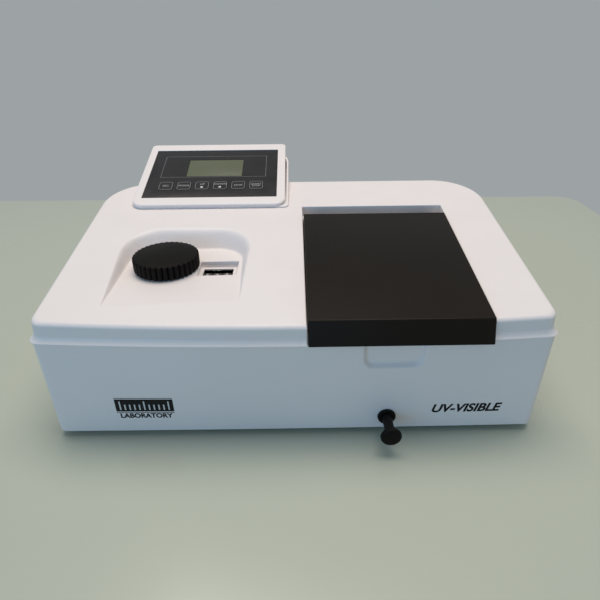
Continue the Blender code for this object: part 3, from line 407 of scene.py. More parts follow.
def circuit_board():
    """Green solder mask with lighter tracks."""
    finish = Finish("circuit_board", 0.4)
    tracks = finish.node("ShaderNodeTexBrick")
    fill(tracks, {
        "Scale": 260.0,
        "Color1": (0.010, 0.085, 0.035, 1.0),
        "Color2": (0.012, 0.105, 0.042, 1.0),
        "Mortar": (0.045, 0.20, 0.085, 1.0),
        "Mortar Size": 0.03,
    })
    finish.link(finish.place, tracks.inputs["Vector"])
    finish.colored(tracks.outputs["Color"])
    finish.patchy(0.32, 0.48, 120.0)
    finish.relief(tracks.outputs["Fac"], 0.00005)
    return finish.material


def lamp_glass():
    finish = Finish("lamp_glass", 0.04, transmission=0.85)
    finish.clouded((0.86, 0.89, 0.92), (0.95, 0.97, 1.0), 40.0)
    finish.patchy(0.02, 0.08, 90.0)
    return finish.material


def mirror_silver():
    finish = Finish("mirror_silver", 0.04, metallic=1.0)
    finish.clouded((0.86, 0.87, 0.88), (0.93, 0.93, 0.94), 30.0)
    finish.patchy(0.02, 0.07, 200.0, 5.0)
    return finish.material


def bench_top():
    finish = Finish("bench_top", 0.24)
    finish.clouded((0.460, 0.487, 0.402), (0.486, 0.510, 0.424), 2.5)
    finish.patchy(0.22, 0.29, 5.0)
    return finish.material


FINISHES = {
    "cover_white": moulded("housing_white", (0.825, 0.757, 0.735), 0.43, 1500.0, 0.00003, 0.012),
    "lid_black": lid_black(),
    "black_plastic": dark_plastic("black_plastic", 0.46),
    "black_rubber": moulded("foot_rubber", (0.022, 0.022, 0.022), 0.8, 900.0, 0.00008, 0.2),
    "seal_foam": foam(),
    "keypad_film": keypad_film(),
    "lcd_glass": lcd_glass(),
    "circuit_board": circuit_board(),
    "aluminium": brushed("aluminium", (0.70, 0.71, 0.72), 0.34),
    # Its edge colour lightens convex edges: wear plus a painted highlight.
    "black_anodised": moulded(
        "black_anodised", (0.020, 0.020, 0.022), 0.5, 2600.0, 0.00002, 0.12, (0.07, 0.07, 0.075)
    ),
    "steel": brushed("steel", (0.58, 0.58, 0.60), 0.28, 1),
    "brass": brushed("brass", (0.70, 0.50, 0.20), 0.30, 2),
    "lamp_glass": lamp_glass(),
    "mirror": mirror_silver(),
    "zinc_case": brushed("zinc_case", (0.52, 0.53, 0.55), 0.42),
}
FILM_INK = ink("film_ink", (0.17, 0.17, 0.17), (0.24, 0.24, 0.24))
KEY_INK = ink("key_ink", (0.28, 0.28, 0.27), (0.36, 0.36, 0.35))
BRIGHT_INK = ink("bright_ink", (0.55, 0.55, 0.54), (0.70, 0.70, 0.68))
BLACK_INK = ink("black_ink", (0.004, 0.004, 0.005), (0.010, 0.010, 0.011), 0.2)
DRUM_GREY = moulded("drum_grey", (0.075, 0.066, 0.062), 0.5, 1200.0, 0.00002, 0.12, specular=0.3)
KNOB_BLACK = dark_plastic("knob_black", 0.52)


# ---- outlines


FAR = 1e4


def rounded(points, radius, inset=0.0, steps=6):
    """A convex counter-clockwise outline with round corners, its sides moved in by inset."""
    count = len(points)
    radii = [radius] * count if isinstance(radius, (int, float)) else radius
    sides = []
    for i in range(count):
        start = Vector(points[i])
        heading = (Vector(points[(i + 1) % count]) - start).normalized()
        inward = Vector((-heading.y, heading.x))
        sides.append((start + inward * inset, heading, inward))
    outline = []
    for i in range(count):
        before, heading, inward = sides[i - 1]
        after, next_heading, _ = sides[i]
        turn = math.atan2(heading.cross(next_heading), heading.dot(next_heading))
        along_side = heading * FAR
        along_next = next_heading * FAR
        corner = geometry.intersect_line_line_2d(
            before - along_side, before + along_side, after - along_next, after + along_next
        )
        reach = max(radii[i] - inset, 0.05)
        centre = Vector(corner) - heading * reach * math.tan(turn / 2) + inward * reach
        out = -inward
        for k in range(steps + 1):
            cos = math.cos(turn * k / steps)
            sin = math.sin(turn * k / steps)
            spoke = Vector((out.x * cos - out.y * sin, out.x * sin + out.y * cos))
            outline.append(tuple(centre + spoke * reach))
    return outline


def rectangle(x0, x1, y0, y1):
    return [(x0, y0), (x1, y0), (x1, y1), (x0, y1)]


def circle(radius, count=64, centre=(0.0, 0.0)):
    turns = [2 * math.pi * i / count for i in range(count)]
    return [(centre[0] + radius * math.cos(t), centre[1] + radius * math.sin(t)) for t in turns]


def body_outline(half_width, front, bow, back, front_radius, rear_radius):
    """The housing's plan: a bowed front that runs smoothly into its corners, and a flat back."""
    lean = math.atan(2 * bow * (half_width - front_radius) / half_width**2)
    span = half_width - front_radius + front_radius * math.sin(lean)

    def bowed(x):
        return front - bow * (1 - (x / half_width) ** 2)

    segments = 44
    steps = 14
    across = [-span + 2 * span * i / segments for i in range(1, segments)]
    points = [(x, bowed(x)) for x in across]
    corner_y = bowed(span) + front_radius * math.cos(lean)
    corners = (
        (half_width - front_radius, corner_y, front_radius, lean - math.pi / 2, 0.0),
        (half_width - rear_radius, back - rear_radius, rear_radius, 0.0, math.pi / 2),
        (rear_radius - half_width, back - rear_radius, rear_radius, math.pi / 2, math.pi),
        (front_radius - half_width, corner_y, front_radius, math.pi, 1.5 * math.pi - lean),
    )
    for x, y, radius, start, end in corners:
        for k in range(steps + 1):
            angle = start + (end - start) * k / steps
            points.append((x + radius * math.cos(angle), y + radius * math.sin(angle)))
    return points


# ---- meshes


def along(axis, a, b, height):
    """A point from plane coordinates and a height along an axis, in right-handed order."""
    if axis == "Z":
        return Vector((a, b, height))
    if axis == "X":
        return Vector((height, a, b))
    return Vector((b, height, a))


def ring_at(axis, outline, height, centre=(0.0, 0.0, 0.0)):
    middle = Vector(centre)
    return [middle + along(axis, a, b, height) for a, b in outline]


def add_loft(mesh, rings, closed=False, last_cap=True):
    """Joins rings of points into a skin: closed on itself, or capped at its ends."""
    rows = [[mesh.verts.new(point) for point in ring] for ring in rings]
    count = len(rows[0])
    pairs = list(zip(rows, rows[1:]))
    if closed:
        pairs.append((rows[-1], rows[0]))
    for low, high in pairs:
        for i in range(count):
            j = (i + 1) % count
            mesh.faces.new((low[i], low[j], high[j], high[i]))
    if not closed:
        mesh.faces.new(list(reversed(rows[0])))
    if not closed and last_cap:
        mesh.faces.new(rows[-1])


def loft(rings, closed=False):
    mesh = bmesh.new()
    add_loft(mesh, rings, closed)
    bmesh.ops.recalc_face_normals(mesh, faces=mesh.faces)
    return mesh


def edge_steps(edge, steps):
    """(inset, rise) pairs of a quarter-round edge, from its end face to its side."""
    angles = [math.pi / 2 * k / steps for k in range(steps + 1)]
    return [(edge * (1 - math.sin(a)), edge * (1 - math.cos(a))) for a in angles]


def soft_prism(axis, points, radius, low, high, edge, steps=4, low_edge=None, corner_steps=6):
    """A prism with round corners and rounded end edges."""
    first = edge_steps(edge if low_edge is None else low_edge, steps)
    levels = [(inset, low + rise) for inset, rise in first]
    levels += [(inset, high - rise) for inset, rise in reversed(edge_steps(edge, steps))]
    plans = [(rounded(points, radius, inset, corner_steps), height) for inset, height in levels]
    return loft([ring_at(axis, plan, height) for plan, height in plans])


def box(x0, x1, y0, y1, z0, z1):
    return prism("Z", rectangle(x0, x1, y0, y1), z0, z1)


def prism(axis, outline, low, high, centre=(0.0, 0.0, 0.0)):
    return loft([ring_at(axis, outline, low, centre), ring_at(axis, outline, high, centre)])


def turned(axis, profile, centre, count=64, closed=False):
    """A turned solid from (radius, height) points; closed makes a ring that keeps off the axis."""
    rings = [ring_at(axis, circle(radius, count), height, centre) for radius, height in profile]
    return loft(rings, closed)


def panel_point(x, length, height):
    """A point of the display panel's own frame, in the housing's."""
    cos = math.cos(PANEL_TILT)
    sin = math.sin(PANEL_TILT)
    return Vector((x, PANEL_Y + length * cos - height * sin, PANEL_Z + length * sin + height * cos))


def to_panel(mesh):
    for vertex in mesh.verts:
        vertex.co = panel_point(*vertex.co)
    return mesh


# ---- pieces


def raw_object(name, mesh):
    """An object in metres from a mesh in layout millimetres."""
    for vertex in mesh.verts:
        vertex.co = Vector((vertex.co.x, vertex.co.y + FRONT_WALL, vertex.co.z)) * MM
    data = bpy.data.meshes.new(name)
    mesh.to_mesh(data)
    mesh.free()
    return new_object(name, data)


def as_layout_mesh(piece):
    """Takes a helper object's mesh back into layout millimetres and removes the object."""
    mesh = bmesh.new()
    mesh.from_mesh(piece.data)
    for vertex in mesh.verts:
        vertex.co = vertex.co / MM - Vector((0.0, FRONT_WALL, 0.0))
    bpy.data.objects.remove(piece, do_unlink=True)
    return mesh


def settle(piece):
    """Applies every modifier of a piece."""
    graph = bpy.context.evaluated_depsgraph_get()
    made = bpy.data.meshes.new_from_object(piece.evaluated_get(graph))
    piece.modifiers.clear()
    piece.data = made


def carve(piece, steps):
    """Applies (operation, mesh) pairs together."""
    helpers = []
    for operation, mesh in steps:
        helper = raw_object("carving_helper", mesh)
        helpers.append(helper)
        step = piece.modifiers.new("carve", "BOOLEAN")
        step.operation = operation
        step.solver = "EXACT"
        step.object = helper
    settle(piece)
    for helper in helpers:
        bpy.data.objects.remove(helper, do_unlink=True)


def cut(mesh):
    return ("DIFFERENCE", mesh)


def join(mesh):
    return ("UNION", mesh)


def finish_piece(piece, body, slot, replaces=(), material=None, sharp=32.0, weighted=False):
    """Gives a piece its finish, taken from its slot unless a material is given, its shading and its body, and
    hides the CAD nodes it stands for.
    """
    piece.data.materials.clear()
    piece.data.materials.append(material or FINISHES[slot])
    for face in piece.data.polygons:
        face.material_index = 0
    piece.data.shade_smooth()
    piece.data.set_sharp_from_angle(angle=math.radians(sharp))
    if weighted:
        normals = piece.modifiers.new("even_shading", "WEIGHTED_NORMAL")
        normals.keep_sharp = True
    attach(piece, body)
    if replaces:
        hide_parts(*replaces)


def add_piece(name, mesh, body, slot, replaces=(), material=None, sharp=32.0, steps=()):
    piece = raw_object(name, mesh)
    if steps:
        carve(piece, steps)
    finish_piece(piece, body, slot, replaces, material, sharp)


# ---- base housing


def base_plan(z):
    """Half the base's width and the bow of its front, which both grow upwards."""
    share = (z - BASE_LOW.z) / (BASE_TOP - BASE_LOW.z)
    return BASE_HIGH.x + 0.6 + share, 1.0 + 7.0 * share


def base_ring(z, inset=0.0):
    half_width, bow = base_plan(z)
    back = BASE_BACK - inset
    corners = (BASE_FRONT_CORNER - inset, BASE_REAR_CORNER - inset)
    return ring_at("Z", body_outline(half_width - inset, inset, bow, back, *corners), z)


def base_front(x, z):
    """Where the bowed front face is."""
    half_width, bow = base_plan(z)
    return -bow * (1 - (x / half_width) ** 2)


def recess_ring(inset, depth):
    """A ring of the finger recess; depth counts inwards from the bowed front face."""
    outline = rounded(rectangle(*RECESS), [9.0, 9.0, 0.5, 0.5], inset, 10)
    return [Vector((x, base_front(x, min(z, BASE_TOP)) + depth, z)) for x, z in outline]


def finger_recess():
    steps = [(-1.3, -6.0), (-1.3, -0.15), (-0.9, 0.02), (-0.4, 0.25), (0.0, 0.5), (0.4, 1.0)]
    steps += [(1.5, 2.5), (2.2, 3.3), (2.8, 3.6), (3.9, 3.7)]
    return loft([recess_ring(inset, depth) for inset, depth in steps])


def fan_slots():
    """Seven upright slots through the back, in front of the fan."""
    x, _, z = middle_mm("fan_frame")
    half_height = 20.0
    half_width = 1.7
    pitch = 6.6
    cuts = []
    for i in range(-3, 4):
        middle = x + pitch * i
        plan = rectangle(z - half_height, z + half_height, middle - half_width, middle + half_width)
        cuts.append(cut(prism("Y", rounded(plan, 1.65), BASE_BACK - 8.0, BASE_BACK + 5.0)))
    return cuts


def base_housing():
    low = BASE_LOW.z
    rings = [base_ring(low + rise, inset) for inset, rise in edge_steps(BASE_EDGE, 5)]
    side = BASE_TOP - 2.3 - low
    side_rings = 6
    rings += [base_ring(low + BASE_EDGE + side * k / side_rings) for k in range(1, side_rings + 1)]
    rings += [base_ring(BASE_TOP - 0.3, 0.05), base_ring(BASE_TOP, 0.4)]
    piece = raw_object("base_shell", loft(rings))
    hollow = loft([base_ring(low + WALL, WALL), base_ring(BASE_TOP + 1.0, WALL)])
    cavity = raw_object("cavity_helper", hollow)
    behind_recess = box(52.0, 110.0, -20.0, 4.5, 62.0, 110.0)
    carve(cavity, [cut(behind_recess)])
    rod_x, _, rod_z = middle_mm("pull_rod")
    rod_hole = prism("Y", circle(5.4, 40), -10.0, 6.0, (rod_x, 0.0, rod_z))
    steps = [cut(as_layout_mesh(cavity)), cut(finger_recess()), cut(rod_hole)] + fan_slots()
    for node, width, height in (("power_inlet", 13.8, 10.3), ("switch_body", 9.8, 6.8)):
        x, _, z = middle_mm(node)
        back = (BASE_BACK - 8.0, BASE_BACK + 5.0)
        steps.append(cut(box(x - width, x + width, *back, z - height, z + height)))
    carve(piece, steps)
    finish_piece(piece, "housing", "cover_white", ["base_housing"], weighted=True)


# ---- top cover


def cover_ring(half_width, front, back, rear_radius, height):
    plan = (half_width, front, COVER_BOW, back, COVER_FRONT_CORNER, rear_radius)
    return [Vector((x, y, height(y))) for x, y in body_outline(*plan)]


def flange_ring(out, z):
    """The flange and the foot of the cover's wall: out counts from the wall's face."""
    share = out / 3.2
    back = 253.0 + 4.0 * share
    return cover_ring(206.8 + out, 0.2 - 2.8 * share, back, 50.0 + 2.0 * share, lambda y: z)


def cover_wall_ring(share):
    """The wall from the flange's foot to the start of the top's round edge."""
    bottom = 106.0

    def height(y):
        return bottom + (top_height(y) - EDGE_RADIUS - bottom) * share

    return cover_ring(206.8 - share, 0.2 - 0.2 * share, 253.0 - 7.0 * share, 50.0 - share, height)


def cover_edge_ring(angle):
    inset = EDGE_RADIUS * (1 - math.cos(angle))
    drop = EDGE_RADIUS * (1 - math.sin(angle))
    plan = (205.8 - inset, inset, 246.0 - inset, 49.0 - inset)
    return cover_ring(*plan, lambda y: top_height(y) - drop)


def soft_low(a, b, reach):
    """The lower of two heights, rounded where they meet."""
    share = min(max(0.5 + 0.5 * (b - a) / reach, 0.0), 1.0)
    return b + (a - b) * share - reach * share * (1 - share)


def pocket_distance(x, y):
    """Distance outside the pocket's floor outline, and how far the wall there leans."""
    middle = (POCKET_LEFT + POCKET_RIGHT) / 2
    half = (POCKET_RIGHT - POCKET_LEFT) / 2 - POCKET_CORNER
    spine = POCKET_BACK - POCKET_CORNER
    splay = POCKET_SPLAY * max(spine - y, 0.0) if x > middle else 0.0
    side = max(abs(x - middle) - half - splay, 0.0)
    back = max(y - spine, 0.0)
    reach = math.hypot(side, back)
    share = (back / reach) ** 2 if reach > 0 else 0.0
    side_lean = LEFT_LEAN if x < middle else RIGHT_LEAN
    return reach - POCKET_CORNER, side_lean + (BACK_LEAN - side_lean) * share


def pocket_floor(x):
    """Height of the pocket's floor, which falls slightly to the left."""
    return POCKET_FLOOR + 0.012 * (x - KNOB_X)


def surface_height(x, y):
    """The cover's top with the knob's pocket sunk into it, its foot and rim rounded."""
    top = top_height(y)
    floor = pocket_floor(x)
    distance, lean = pocket_distance(x, y)
    room = max(top - floor, 0.0)
    foot = min(2.2, 0.2 + 0.25 * room)
    wall = -soft_low(-floor, -(floor + distance / lean), foot)
    return soft_low(top, wall, min(5.5, 0.25 + 0.5 * room))


def pocket_points():
    """Rows of points along the pocket's wall, from its left front round the back to the right."""
    left = POCKET_LEFT + POCKET_CORNER
    right = POCKET_RIGHT - POCKET_CORNER
    spine = POCKET_BACK - POCKET_CORNER
    front = 7.0
    quarter = math.pi / 2
    # first centre, last centre, first angle, last angle, steps and how many of them are taken
    stages = (
        ((left, front), (left, spine), math.pi, math.pi, 34, range(34)),
        ((left, spine), (left, spine), math.pi, quarter, 24, range(25)),
        ((left, spine), (right, spine), quarter, quarter, 18, range(1, 18)),
        ((right, spine), (right, spine), quarter, 0.0, 24, range(25)),
        ((right, spine), (right, front), 0.0, 0.0, 34, range(1, 35)),
    )
    rails = []
    for (x0, y0), (x1, y1), first, last, steps, taken in stages:
        for i in taken:
            angle = first + (last - first) * i / steps
            centre = Vector((x0 + (x1 - x0) * i / steps, y0 + (y1 - y0) * i / steps))
            rails.append((centre, Vector((math.cos(angle), math.sin(angle)))))
    reaches = [POCKET_CORNER - 4.0 + 0.5 * k for k in range(40)]
    return [[centre + out * reach for centre, out in rails] for reach in reaches]


def cover_top_mesh(rim):
    """The sloping top as one triangulated sheet, dense along the pocket's walls."""
    points = [Vector((p.x, p.y)) for p in rim]
    edges = [(i, (i + 1) % len(points)) for i in range(len(points))]
    for row in pocket_points():
        start = len(points)
        points += row
        edges += [(start + i, start + i + 1) for i in range(len(row) - 1)]
    rows = (9.0, 12.0, 14.0, 15.5, 17.0, 18.5, 20.0, 21.5, 23.0, 24.5, 26.0, 28.0, 30.0, 34.0, 40.0)
    columns = 21
    for y in rows:
        for k in range(columns + 1):
            x = POCKET_LEFT + 5.5 + (POCKET_RIGHT - POCKET_LEFT - 11.0) * k / columns
            points.append(Vector((x, y)))
    flat, _, faces, _, _, _ = geometry.delaunay_2d_cdt(points, edges, [], 0, 1e-5)
    return [Vector((p.x, p.y, surface_height(p.x, p.y))) for p in flat], faces


def cover_solid():
    wall_steps = 5
    edge_count = 7
    lip = [(2.7, 100.3), (3.05, 100.35), (3.2, 100.6), (3.15, 100.95), (2.95, 101.25), (2.6, 101.6)]
    lip += [(2.2, 102.0), (1.8, 102.5), (1.4, 103.05), (1.05, 103.6), (0.75, 104.2), (0.45, 104.8)]
    lip += [(0.2, 105.4), (0.0, 106.0)]
    rings = [flange_ring(out, z) for out, z in lip]
    rings += [cover_wall_ring(k / wall_steps) for k in range(1, wall_steps + 1)]
    rings += [cover_edge_ring(math.pi / 2 * k / edge_count) for k in range(1, edge_count + 1)]
    mesh = bmesh.new()
    add_loft(mesh, rings, last_cap=False)
    points, faces = cover_top_mesh(rings[-1])
    verts = [mesh.verts.new(p) for p in points]
    for face in faces:
        mesh.faces.new([verts[i] for i in face])
    bmesh.ops.remove_doubles(mesh, verts=mesh.verts, dist=1e-3)
    bmesh.ops.recalc_face_normals(mesh, faces=mesh.faces)
    return mesh


def pocket_ring(z, grow):
    """The underside of the pocket's walls."""
    rise = z - POCKET_FLOOR
    left = POCKET_LEFT - rise * LEFT_LEAN - grow
    right = POCKET_RIGHT + rise * RIGHT_LEAN + grow
    outline = rounded(
        rectangle(left, right, -14.0, POCKET_BACK + rise * BACK_LEAN + grow),
        [6.0, POCKET_CORNER, POCKET_CORNER, 6.0],
    )
    return ring_at("Z", outline, z)


def flared_cutter(plan, radius, floor, edge, surface):
    """A cutter up from a flat floor; edge has how far it flares and drops along a surface."""
    rings = [[Vector((x, y, floor)) for x, y in rounded(plan, radius, 0.0, 5)]]
    for grow, drop in edge:
        outline = rounded(plan, radius, -grow, 5)
        rings.append([Vector((x, y, surface(x, y) - drop)) for x, y in outline])
    return loft(rings)


def tray_cutter():
    """The lid's tray with a rounded upper edge that follows the sloping top."""
    plan = rectangle(TRAY_LEFT, TRAY_RIGHT, -60.0, TRAY_BACK)
    edge = ((0.0, 1.0), (0.08, 0.6), (0.25, 0.32), (0.5, 0.12), (0.95, -0.1), (0.95, -40.0))
    return flared_cutter(plan, [0.6, 1.2, 1.2, 0.6], TRAY_FLOOR, edge, lambda x, y: top_height(y))


def nose_cutter():
    outline = [(-60.0, 99.0), (-8.9, 99.0), (-5.8, TRAY_FLOOR), (-5.8, 118.0), (-60.0, 118.0)]
    return prism("X", outline, TRAY_LEFT, TRAY_RIGHT)


def hinge_ear(x0, x1):
    radius = 5.0
    outline = [(HINGE_Y - radius, TRAY_FLOOR - 1.0), (HINGE_Y + radius, TRAY_FLOOR - 1.0)]
    for i in range(17):
        angle = math.pi * i / 16
        outline.append((HINGE_Y + radius * math.cos(angle), HINGE_Z + radius * math.sin(angle)))
    return prism("X", outline, x0, x1)


def window_cutter():
    """The counter's window through the pocket's floor, with a softened rim."""
    edge = ((0.0, 0.9), (0.1, 0.45), (0.35, 0.15), (0.75, -0.05), (0.75, -9.0))
    plan = rectangle(*WINDOW)
    return flared_cutter(plan, 1.0, POCKET_FLOOR - 9.0, edge, lambda x, y: pocket_floor(x))


def top_cover():
    piece = raw_object("cover_shell", cover_solid())
    inner = [
        cover_ring(203.4, 3.2, 250.0, 46.0, lambda y: 99.0),
        cover_ring(203.4, 3.2, 250.0, 46.0, lambda y: FLANGE_TOP),
        cover_ring(202.4, 3.6, 242.2, 45.0, lambda y: top_height(y) - COVER_SKIN - 1.6),
        cover_ring(200.2, 6.0, 240.0, 43.0, lambda y: top_height(y) - COVER_SKIN),
    ]
    cavity = raw_object("cavity_helper", loft(inner))
    skin = 2.5
    tray_walls = box(
        TRAY_LEFT - skin, TRAY_RIGHT + skin, -40.0, TRAY_BACK + skin, TRAY_FLOOR - skin, 200.0
    )
    pocket_walls = loft([pocket_ring(POCKET_FLOOR - skin, skin), pocket_ring(170.0, skin)])
    carve(cavity, [cut(tray_walls), cut(pocket_walls)])
    tray = raw_object("tray_helper", tray_cutter())
    left_ear = hinge_ear(TRAY_LEFT - 3.0, TRAY_LEFT + 8.3)
    right_ear = hinge_ear(TRAY_RIGHT - 8.3, TRAY_RIGHT + 3.0)
    carve(tray, [cut(left_ear), cut(right_ear)])
    rim = 8.0
    bay_x = (BAY_LOW.x + rim, BAY_HIGH.x - rim)
    bay_y = (BAY_LOW.y + rim, BAY_HIGH.y - rim)
    pin = circle(PIN_HOLE, 32)
    steps = [
        cut(as_layout_mesh(cavity)),
        cut(as_layout_mesh(tray)),
        cut(nose_cutter()),
        cut(window_cutter()),
        cut(prism("Z", circle(6.3, 40), 110.0, 130.0, (KNOB_X, KNOB_Y, 0.0))),
        cut(box(*bay_x, *bay_y, 99.0, TRAY_FLOOR + 4.0)),
        cut(prism("X", pin, TRAY_LEFT + 1.0, TRAY_RIGHT - 1.0, (0.0, HINGE_Y, HINGE_Z))),
    ]
    carve(piece, steps)
    finish_piece(piece, "housing", "cover_white", ["top_cover"], weighted=True)


# ---- lid


def lid_top(y):
    return top_height(y) + 2.5


def lid_nose_y(z):
    top = lid_top(LID_FRONT_TOP)
    share = (top - z) / (top - LID_LOW.z)
    return LID_FRONT_TOP + (LID_LOW.y - LID_FRONT_TOP) * share


def sample_lid():
    back = LID_BACK
    wall = 4.0
    skin = 2.5
    below = 90.0
    skirt = 110.5
    rib_front = 2.0
    rib_back = 6.0
    sill = TRAY_FLOOR + 0.6
    hinge = (0.0, HINGE_Y, HINGE_Z)
    profile = [(LID_LOW.y, LID_LOW.z), (back, LID_LOW.z)]
    profile += [(y, lid_top(y)) for y in (back, LID_FRONT_TOP)]
    outer = soft_prism("X", profile, [0.5, 0.5, 1.3, 1.5], LID_LOW.x, LID_HIGH.x, 1.1, 5)
    under = [(lid_nose_y(below) + skin, below), (back + 5.0, below), (back + 5.0, skirt)]
    under += [(rib_front - 1.5, skirt), (rib_front - 1.5, sill), (lid_nose_y(sill) + skin, sill)]
    hollow = [(rib_back, below), (back - wall, below)]
    hollow += [(y, lid_top(y) - skin) for y in (back - wall, rib_back)]
    nose_top = lid_top(LID_FRONT_TOP) - 3.5
    nose = [(lid_nose_y(below) + skin, below), (rib_front, below)]
    nose += [(rib_front, lid_top(rib_front) - 3.0), (lid_nose_y(nose_top) + skin, nose_top)]
    steps = [
        cut(prism("X", under, LID_LOW.x - 5.0, LID_HIGH.x + 5.0)),
        cut(soft_prism("X", hollow, 1.5, LID_LOW.x + wall, LID_HIGH.x - wall, 1.5)),
        cut(prism("X", nose, LID_LOW.x + skin, LID_HIGH.x - skin)),
    ]
    lug_points = ((4.5, -4.5), (6.0, 0.0), (4.5, 4.5), (0.0, 6.0))
    lug = [(back - 2.0, HINGE_Z - 8.0), (HINGE_Y, HINGE_Z - 6.0)]
    lug += [(HINGE_Y + y, HINGE_Z + z) for y, z in lug_points]
    lug += [(back - 2.0, HINGE_Z + 8.0)]
    lug_corners = [0.2, 2.0, 3.0, 4.0, 3.0, 2.0, 0.2]
    for x0 in (22.0, 130.8):
        steps.append(join(soft_prism("X", lug, lug_corners, x0, x0 + 12.0, 0.5, 3)))
    steps.append(cut(prism("X", circle(PIN_HOLE, 32), 15.0, 150.0, hinge)))
    add_piece("lid_shell", outer, "lid", "lid_black", ["sample_lid"], steps=steps)

    low, high = box_mm("lid_seal")
    strip = soft_prism("Z", rectangle(low.x, high.x, low.y, high.y), 1.5, low.z, high.z, 0.5, 3)
    inside = rectangle(LID_LOW.x + wall, LID_HIGH.x - wall, rib_back, back - wall)
    seal_cut = [cut(prism("Z", rounded(inside, 1.5), 100.0, 120.0))]
    add_piece("lid_seal_strip", strip, "lid", "seal_foam", ["lid_seal"], steps=seal_cut)

    low, high = box_mm("lid_hinge_pin")
    profile = [(1.6, low.x), (2.0, low.x + 0.4), (2.0, high.x - 0.4), (1.6, high.x)]
    pin = turned("X", profile, hinge, 40)
    add_piece("hinge_pin", pin, "housing", "steel", ["lid_hinge_pin"])


# ---- display head


def panel_outline(inset, low_inset):
    """The display panel's outline, its lower side moved in by an amount of its own."""
    x0, x1, low, high = PANEL
    plan = rectangle(x0 + inset, x1 - inset, low + LOW_SIDE_INSET + low_inset, high - inset)
    return rounded(plan, [12.0, 12.0, 5.0, 5.0], 0.0, 10)


def key_outline(index, grow=0.0):
    """A key's outline, wider all round by grow."""
    x = KEY_FIRST_X + KEY_PITCH * index
    half = KEY_WIDTH / 2 + grow
    reach = KEY_LENGTH / 2 + grow
    return rectangle(x - half, x + half, KEY_MIDDLE - reach, KEY_MIDDLE + reach)


def panel_prism(outline, low, high):
    return to_panel(prism("Z", outline, low, high))


def line_frame(outline_of, width, height=0.035):
    """A thin printed line as a closed ring of its own."""
    outer = outline_of(0.0)
    inner = outline_of(width)
    low = height - 0.08
    levels = ((outer, low), (outer, height), (inner, height), (inner, low))
    return to_panel(loft([ring_at("Z", outline, z) for outline, z in levels], closed=True))


def printed_text(name, words, size, place, body, slot, ink_used, slant=0.0, depth=0.05, weight=0.0):
    """Words as thin raised ink; place turns a point of the text's plane into layout millimetres."""
    curve = bpy.data.curves.new(name, "FONT")
    curve.body = words
    curve.size = size
    curve.align_x = "CENTER"
    curve.align_y = "CENTER"
    curve.shear = slant
    curve.offset = weight
    curve.space_line = 0.85
    curve.extrude = depth / 2
    curve.resolution_u = 5
    source = new_object(name + "_source", curve)
    graph = bpy.context.evaluated_depsgraph_get()
    data = bpy.data.meshes.new_from_object(source.evaluated_get(graph))
    mesh = bmesh.new()
    mesh.from_mesh(data)
    bpy.data.objects.remove(source, do_unlink=True)
    bmesh.ops.remove_doubles(mesh, verts=mesh.verts, dist=1e-4)
    for vertex in mesh.verts:
        vertex.co = place(*vertex.co)
    bmesh.ops.recalc_face_normals(mesh, faces=mesh.faces)
    add_piece(name, mesh, body, slot, material=ink_used, sharp=20.0)


def display_bezel():
    """The panel's frame, its edge rolled to the sides and further down at its low side."""
    low_roll = 2.3
    side_roll = 0.9
    top = 0.49
    levels = [(0.15, 0.0, -2.6), (0.0, 0.0, -2.45)]
    for step in range(9):
        angle = math.pi / 2 * step / 8
        drop = low_roll * (1 - math.sin(angle))
        side = side_roll - math.sqrt(max(side_roll**2 - max(side_roll - drop, 0.0) ** 2, 0.0))
        levels.append((side, low_roll * (1 - math.cos(angle)), top - drop))
    rings = [ring_at("Z", panel_outline(side, low_side), z) for side, low_side, z in levels]
    x0, x1, low, high = KEYPAD
    seat = rounded(rectangle(x0 - GAP, x1 + GAP, low - GAP, high + GAP), 0.8)
    steps = [
        cut(panel_prism(seat, -1.3, 3.0)),
        cut(to_panel(box(-152.0, -28.0, 10.0, 92.0, -9.0, 3.0))),
    ]
    frame_mesh = to_panel(loft(rings))
    add_piece("bezel_frame", frame_mesh, "housing", "cover_white", ["display_bezel"], steps=steps)


def display_film():
    film = to_panel(soft_prism("Z", rectangle(*KEYPAD), 0.6, -1.0, 0.0, 0.15, 2, 0.05))
    steps = [cut(panel_prism(rounded(rectangle(*LCD), 0.5), -3.0, 2.0))]
    for i in range(len(KEY_WORDS)):
        steps.append(cut(panel_prism(rounded(key_outline(i, GAP), 3.6), -3.0, 2.0)))
    add_piece("keypad_sheet", film, "housing", "keypad_film", ["keypad_overlay"], steps=steps)
    border = line_frame(lambda inset: rounded(rectangle(*PANEL_LINE), 0.4, inset), 0.35)
    add_piece("panel_line", border, "housing", "keypad_film", material=FILM_INK)
    x0, x1, low, high = LCD
    window = rectangle(x0 + GAP, x1 - GAP, low + GAP, high - GAP)
    glass = to_panel(soft_prism("Z", window, 0.4, -1.0, -0.2, 0.12, 2))
    add_piece("lcd_panel", glass, "housing", "lcd_glass", ["lcd_window"])


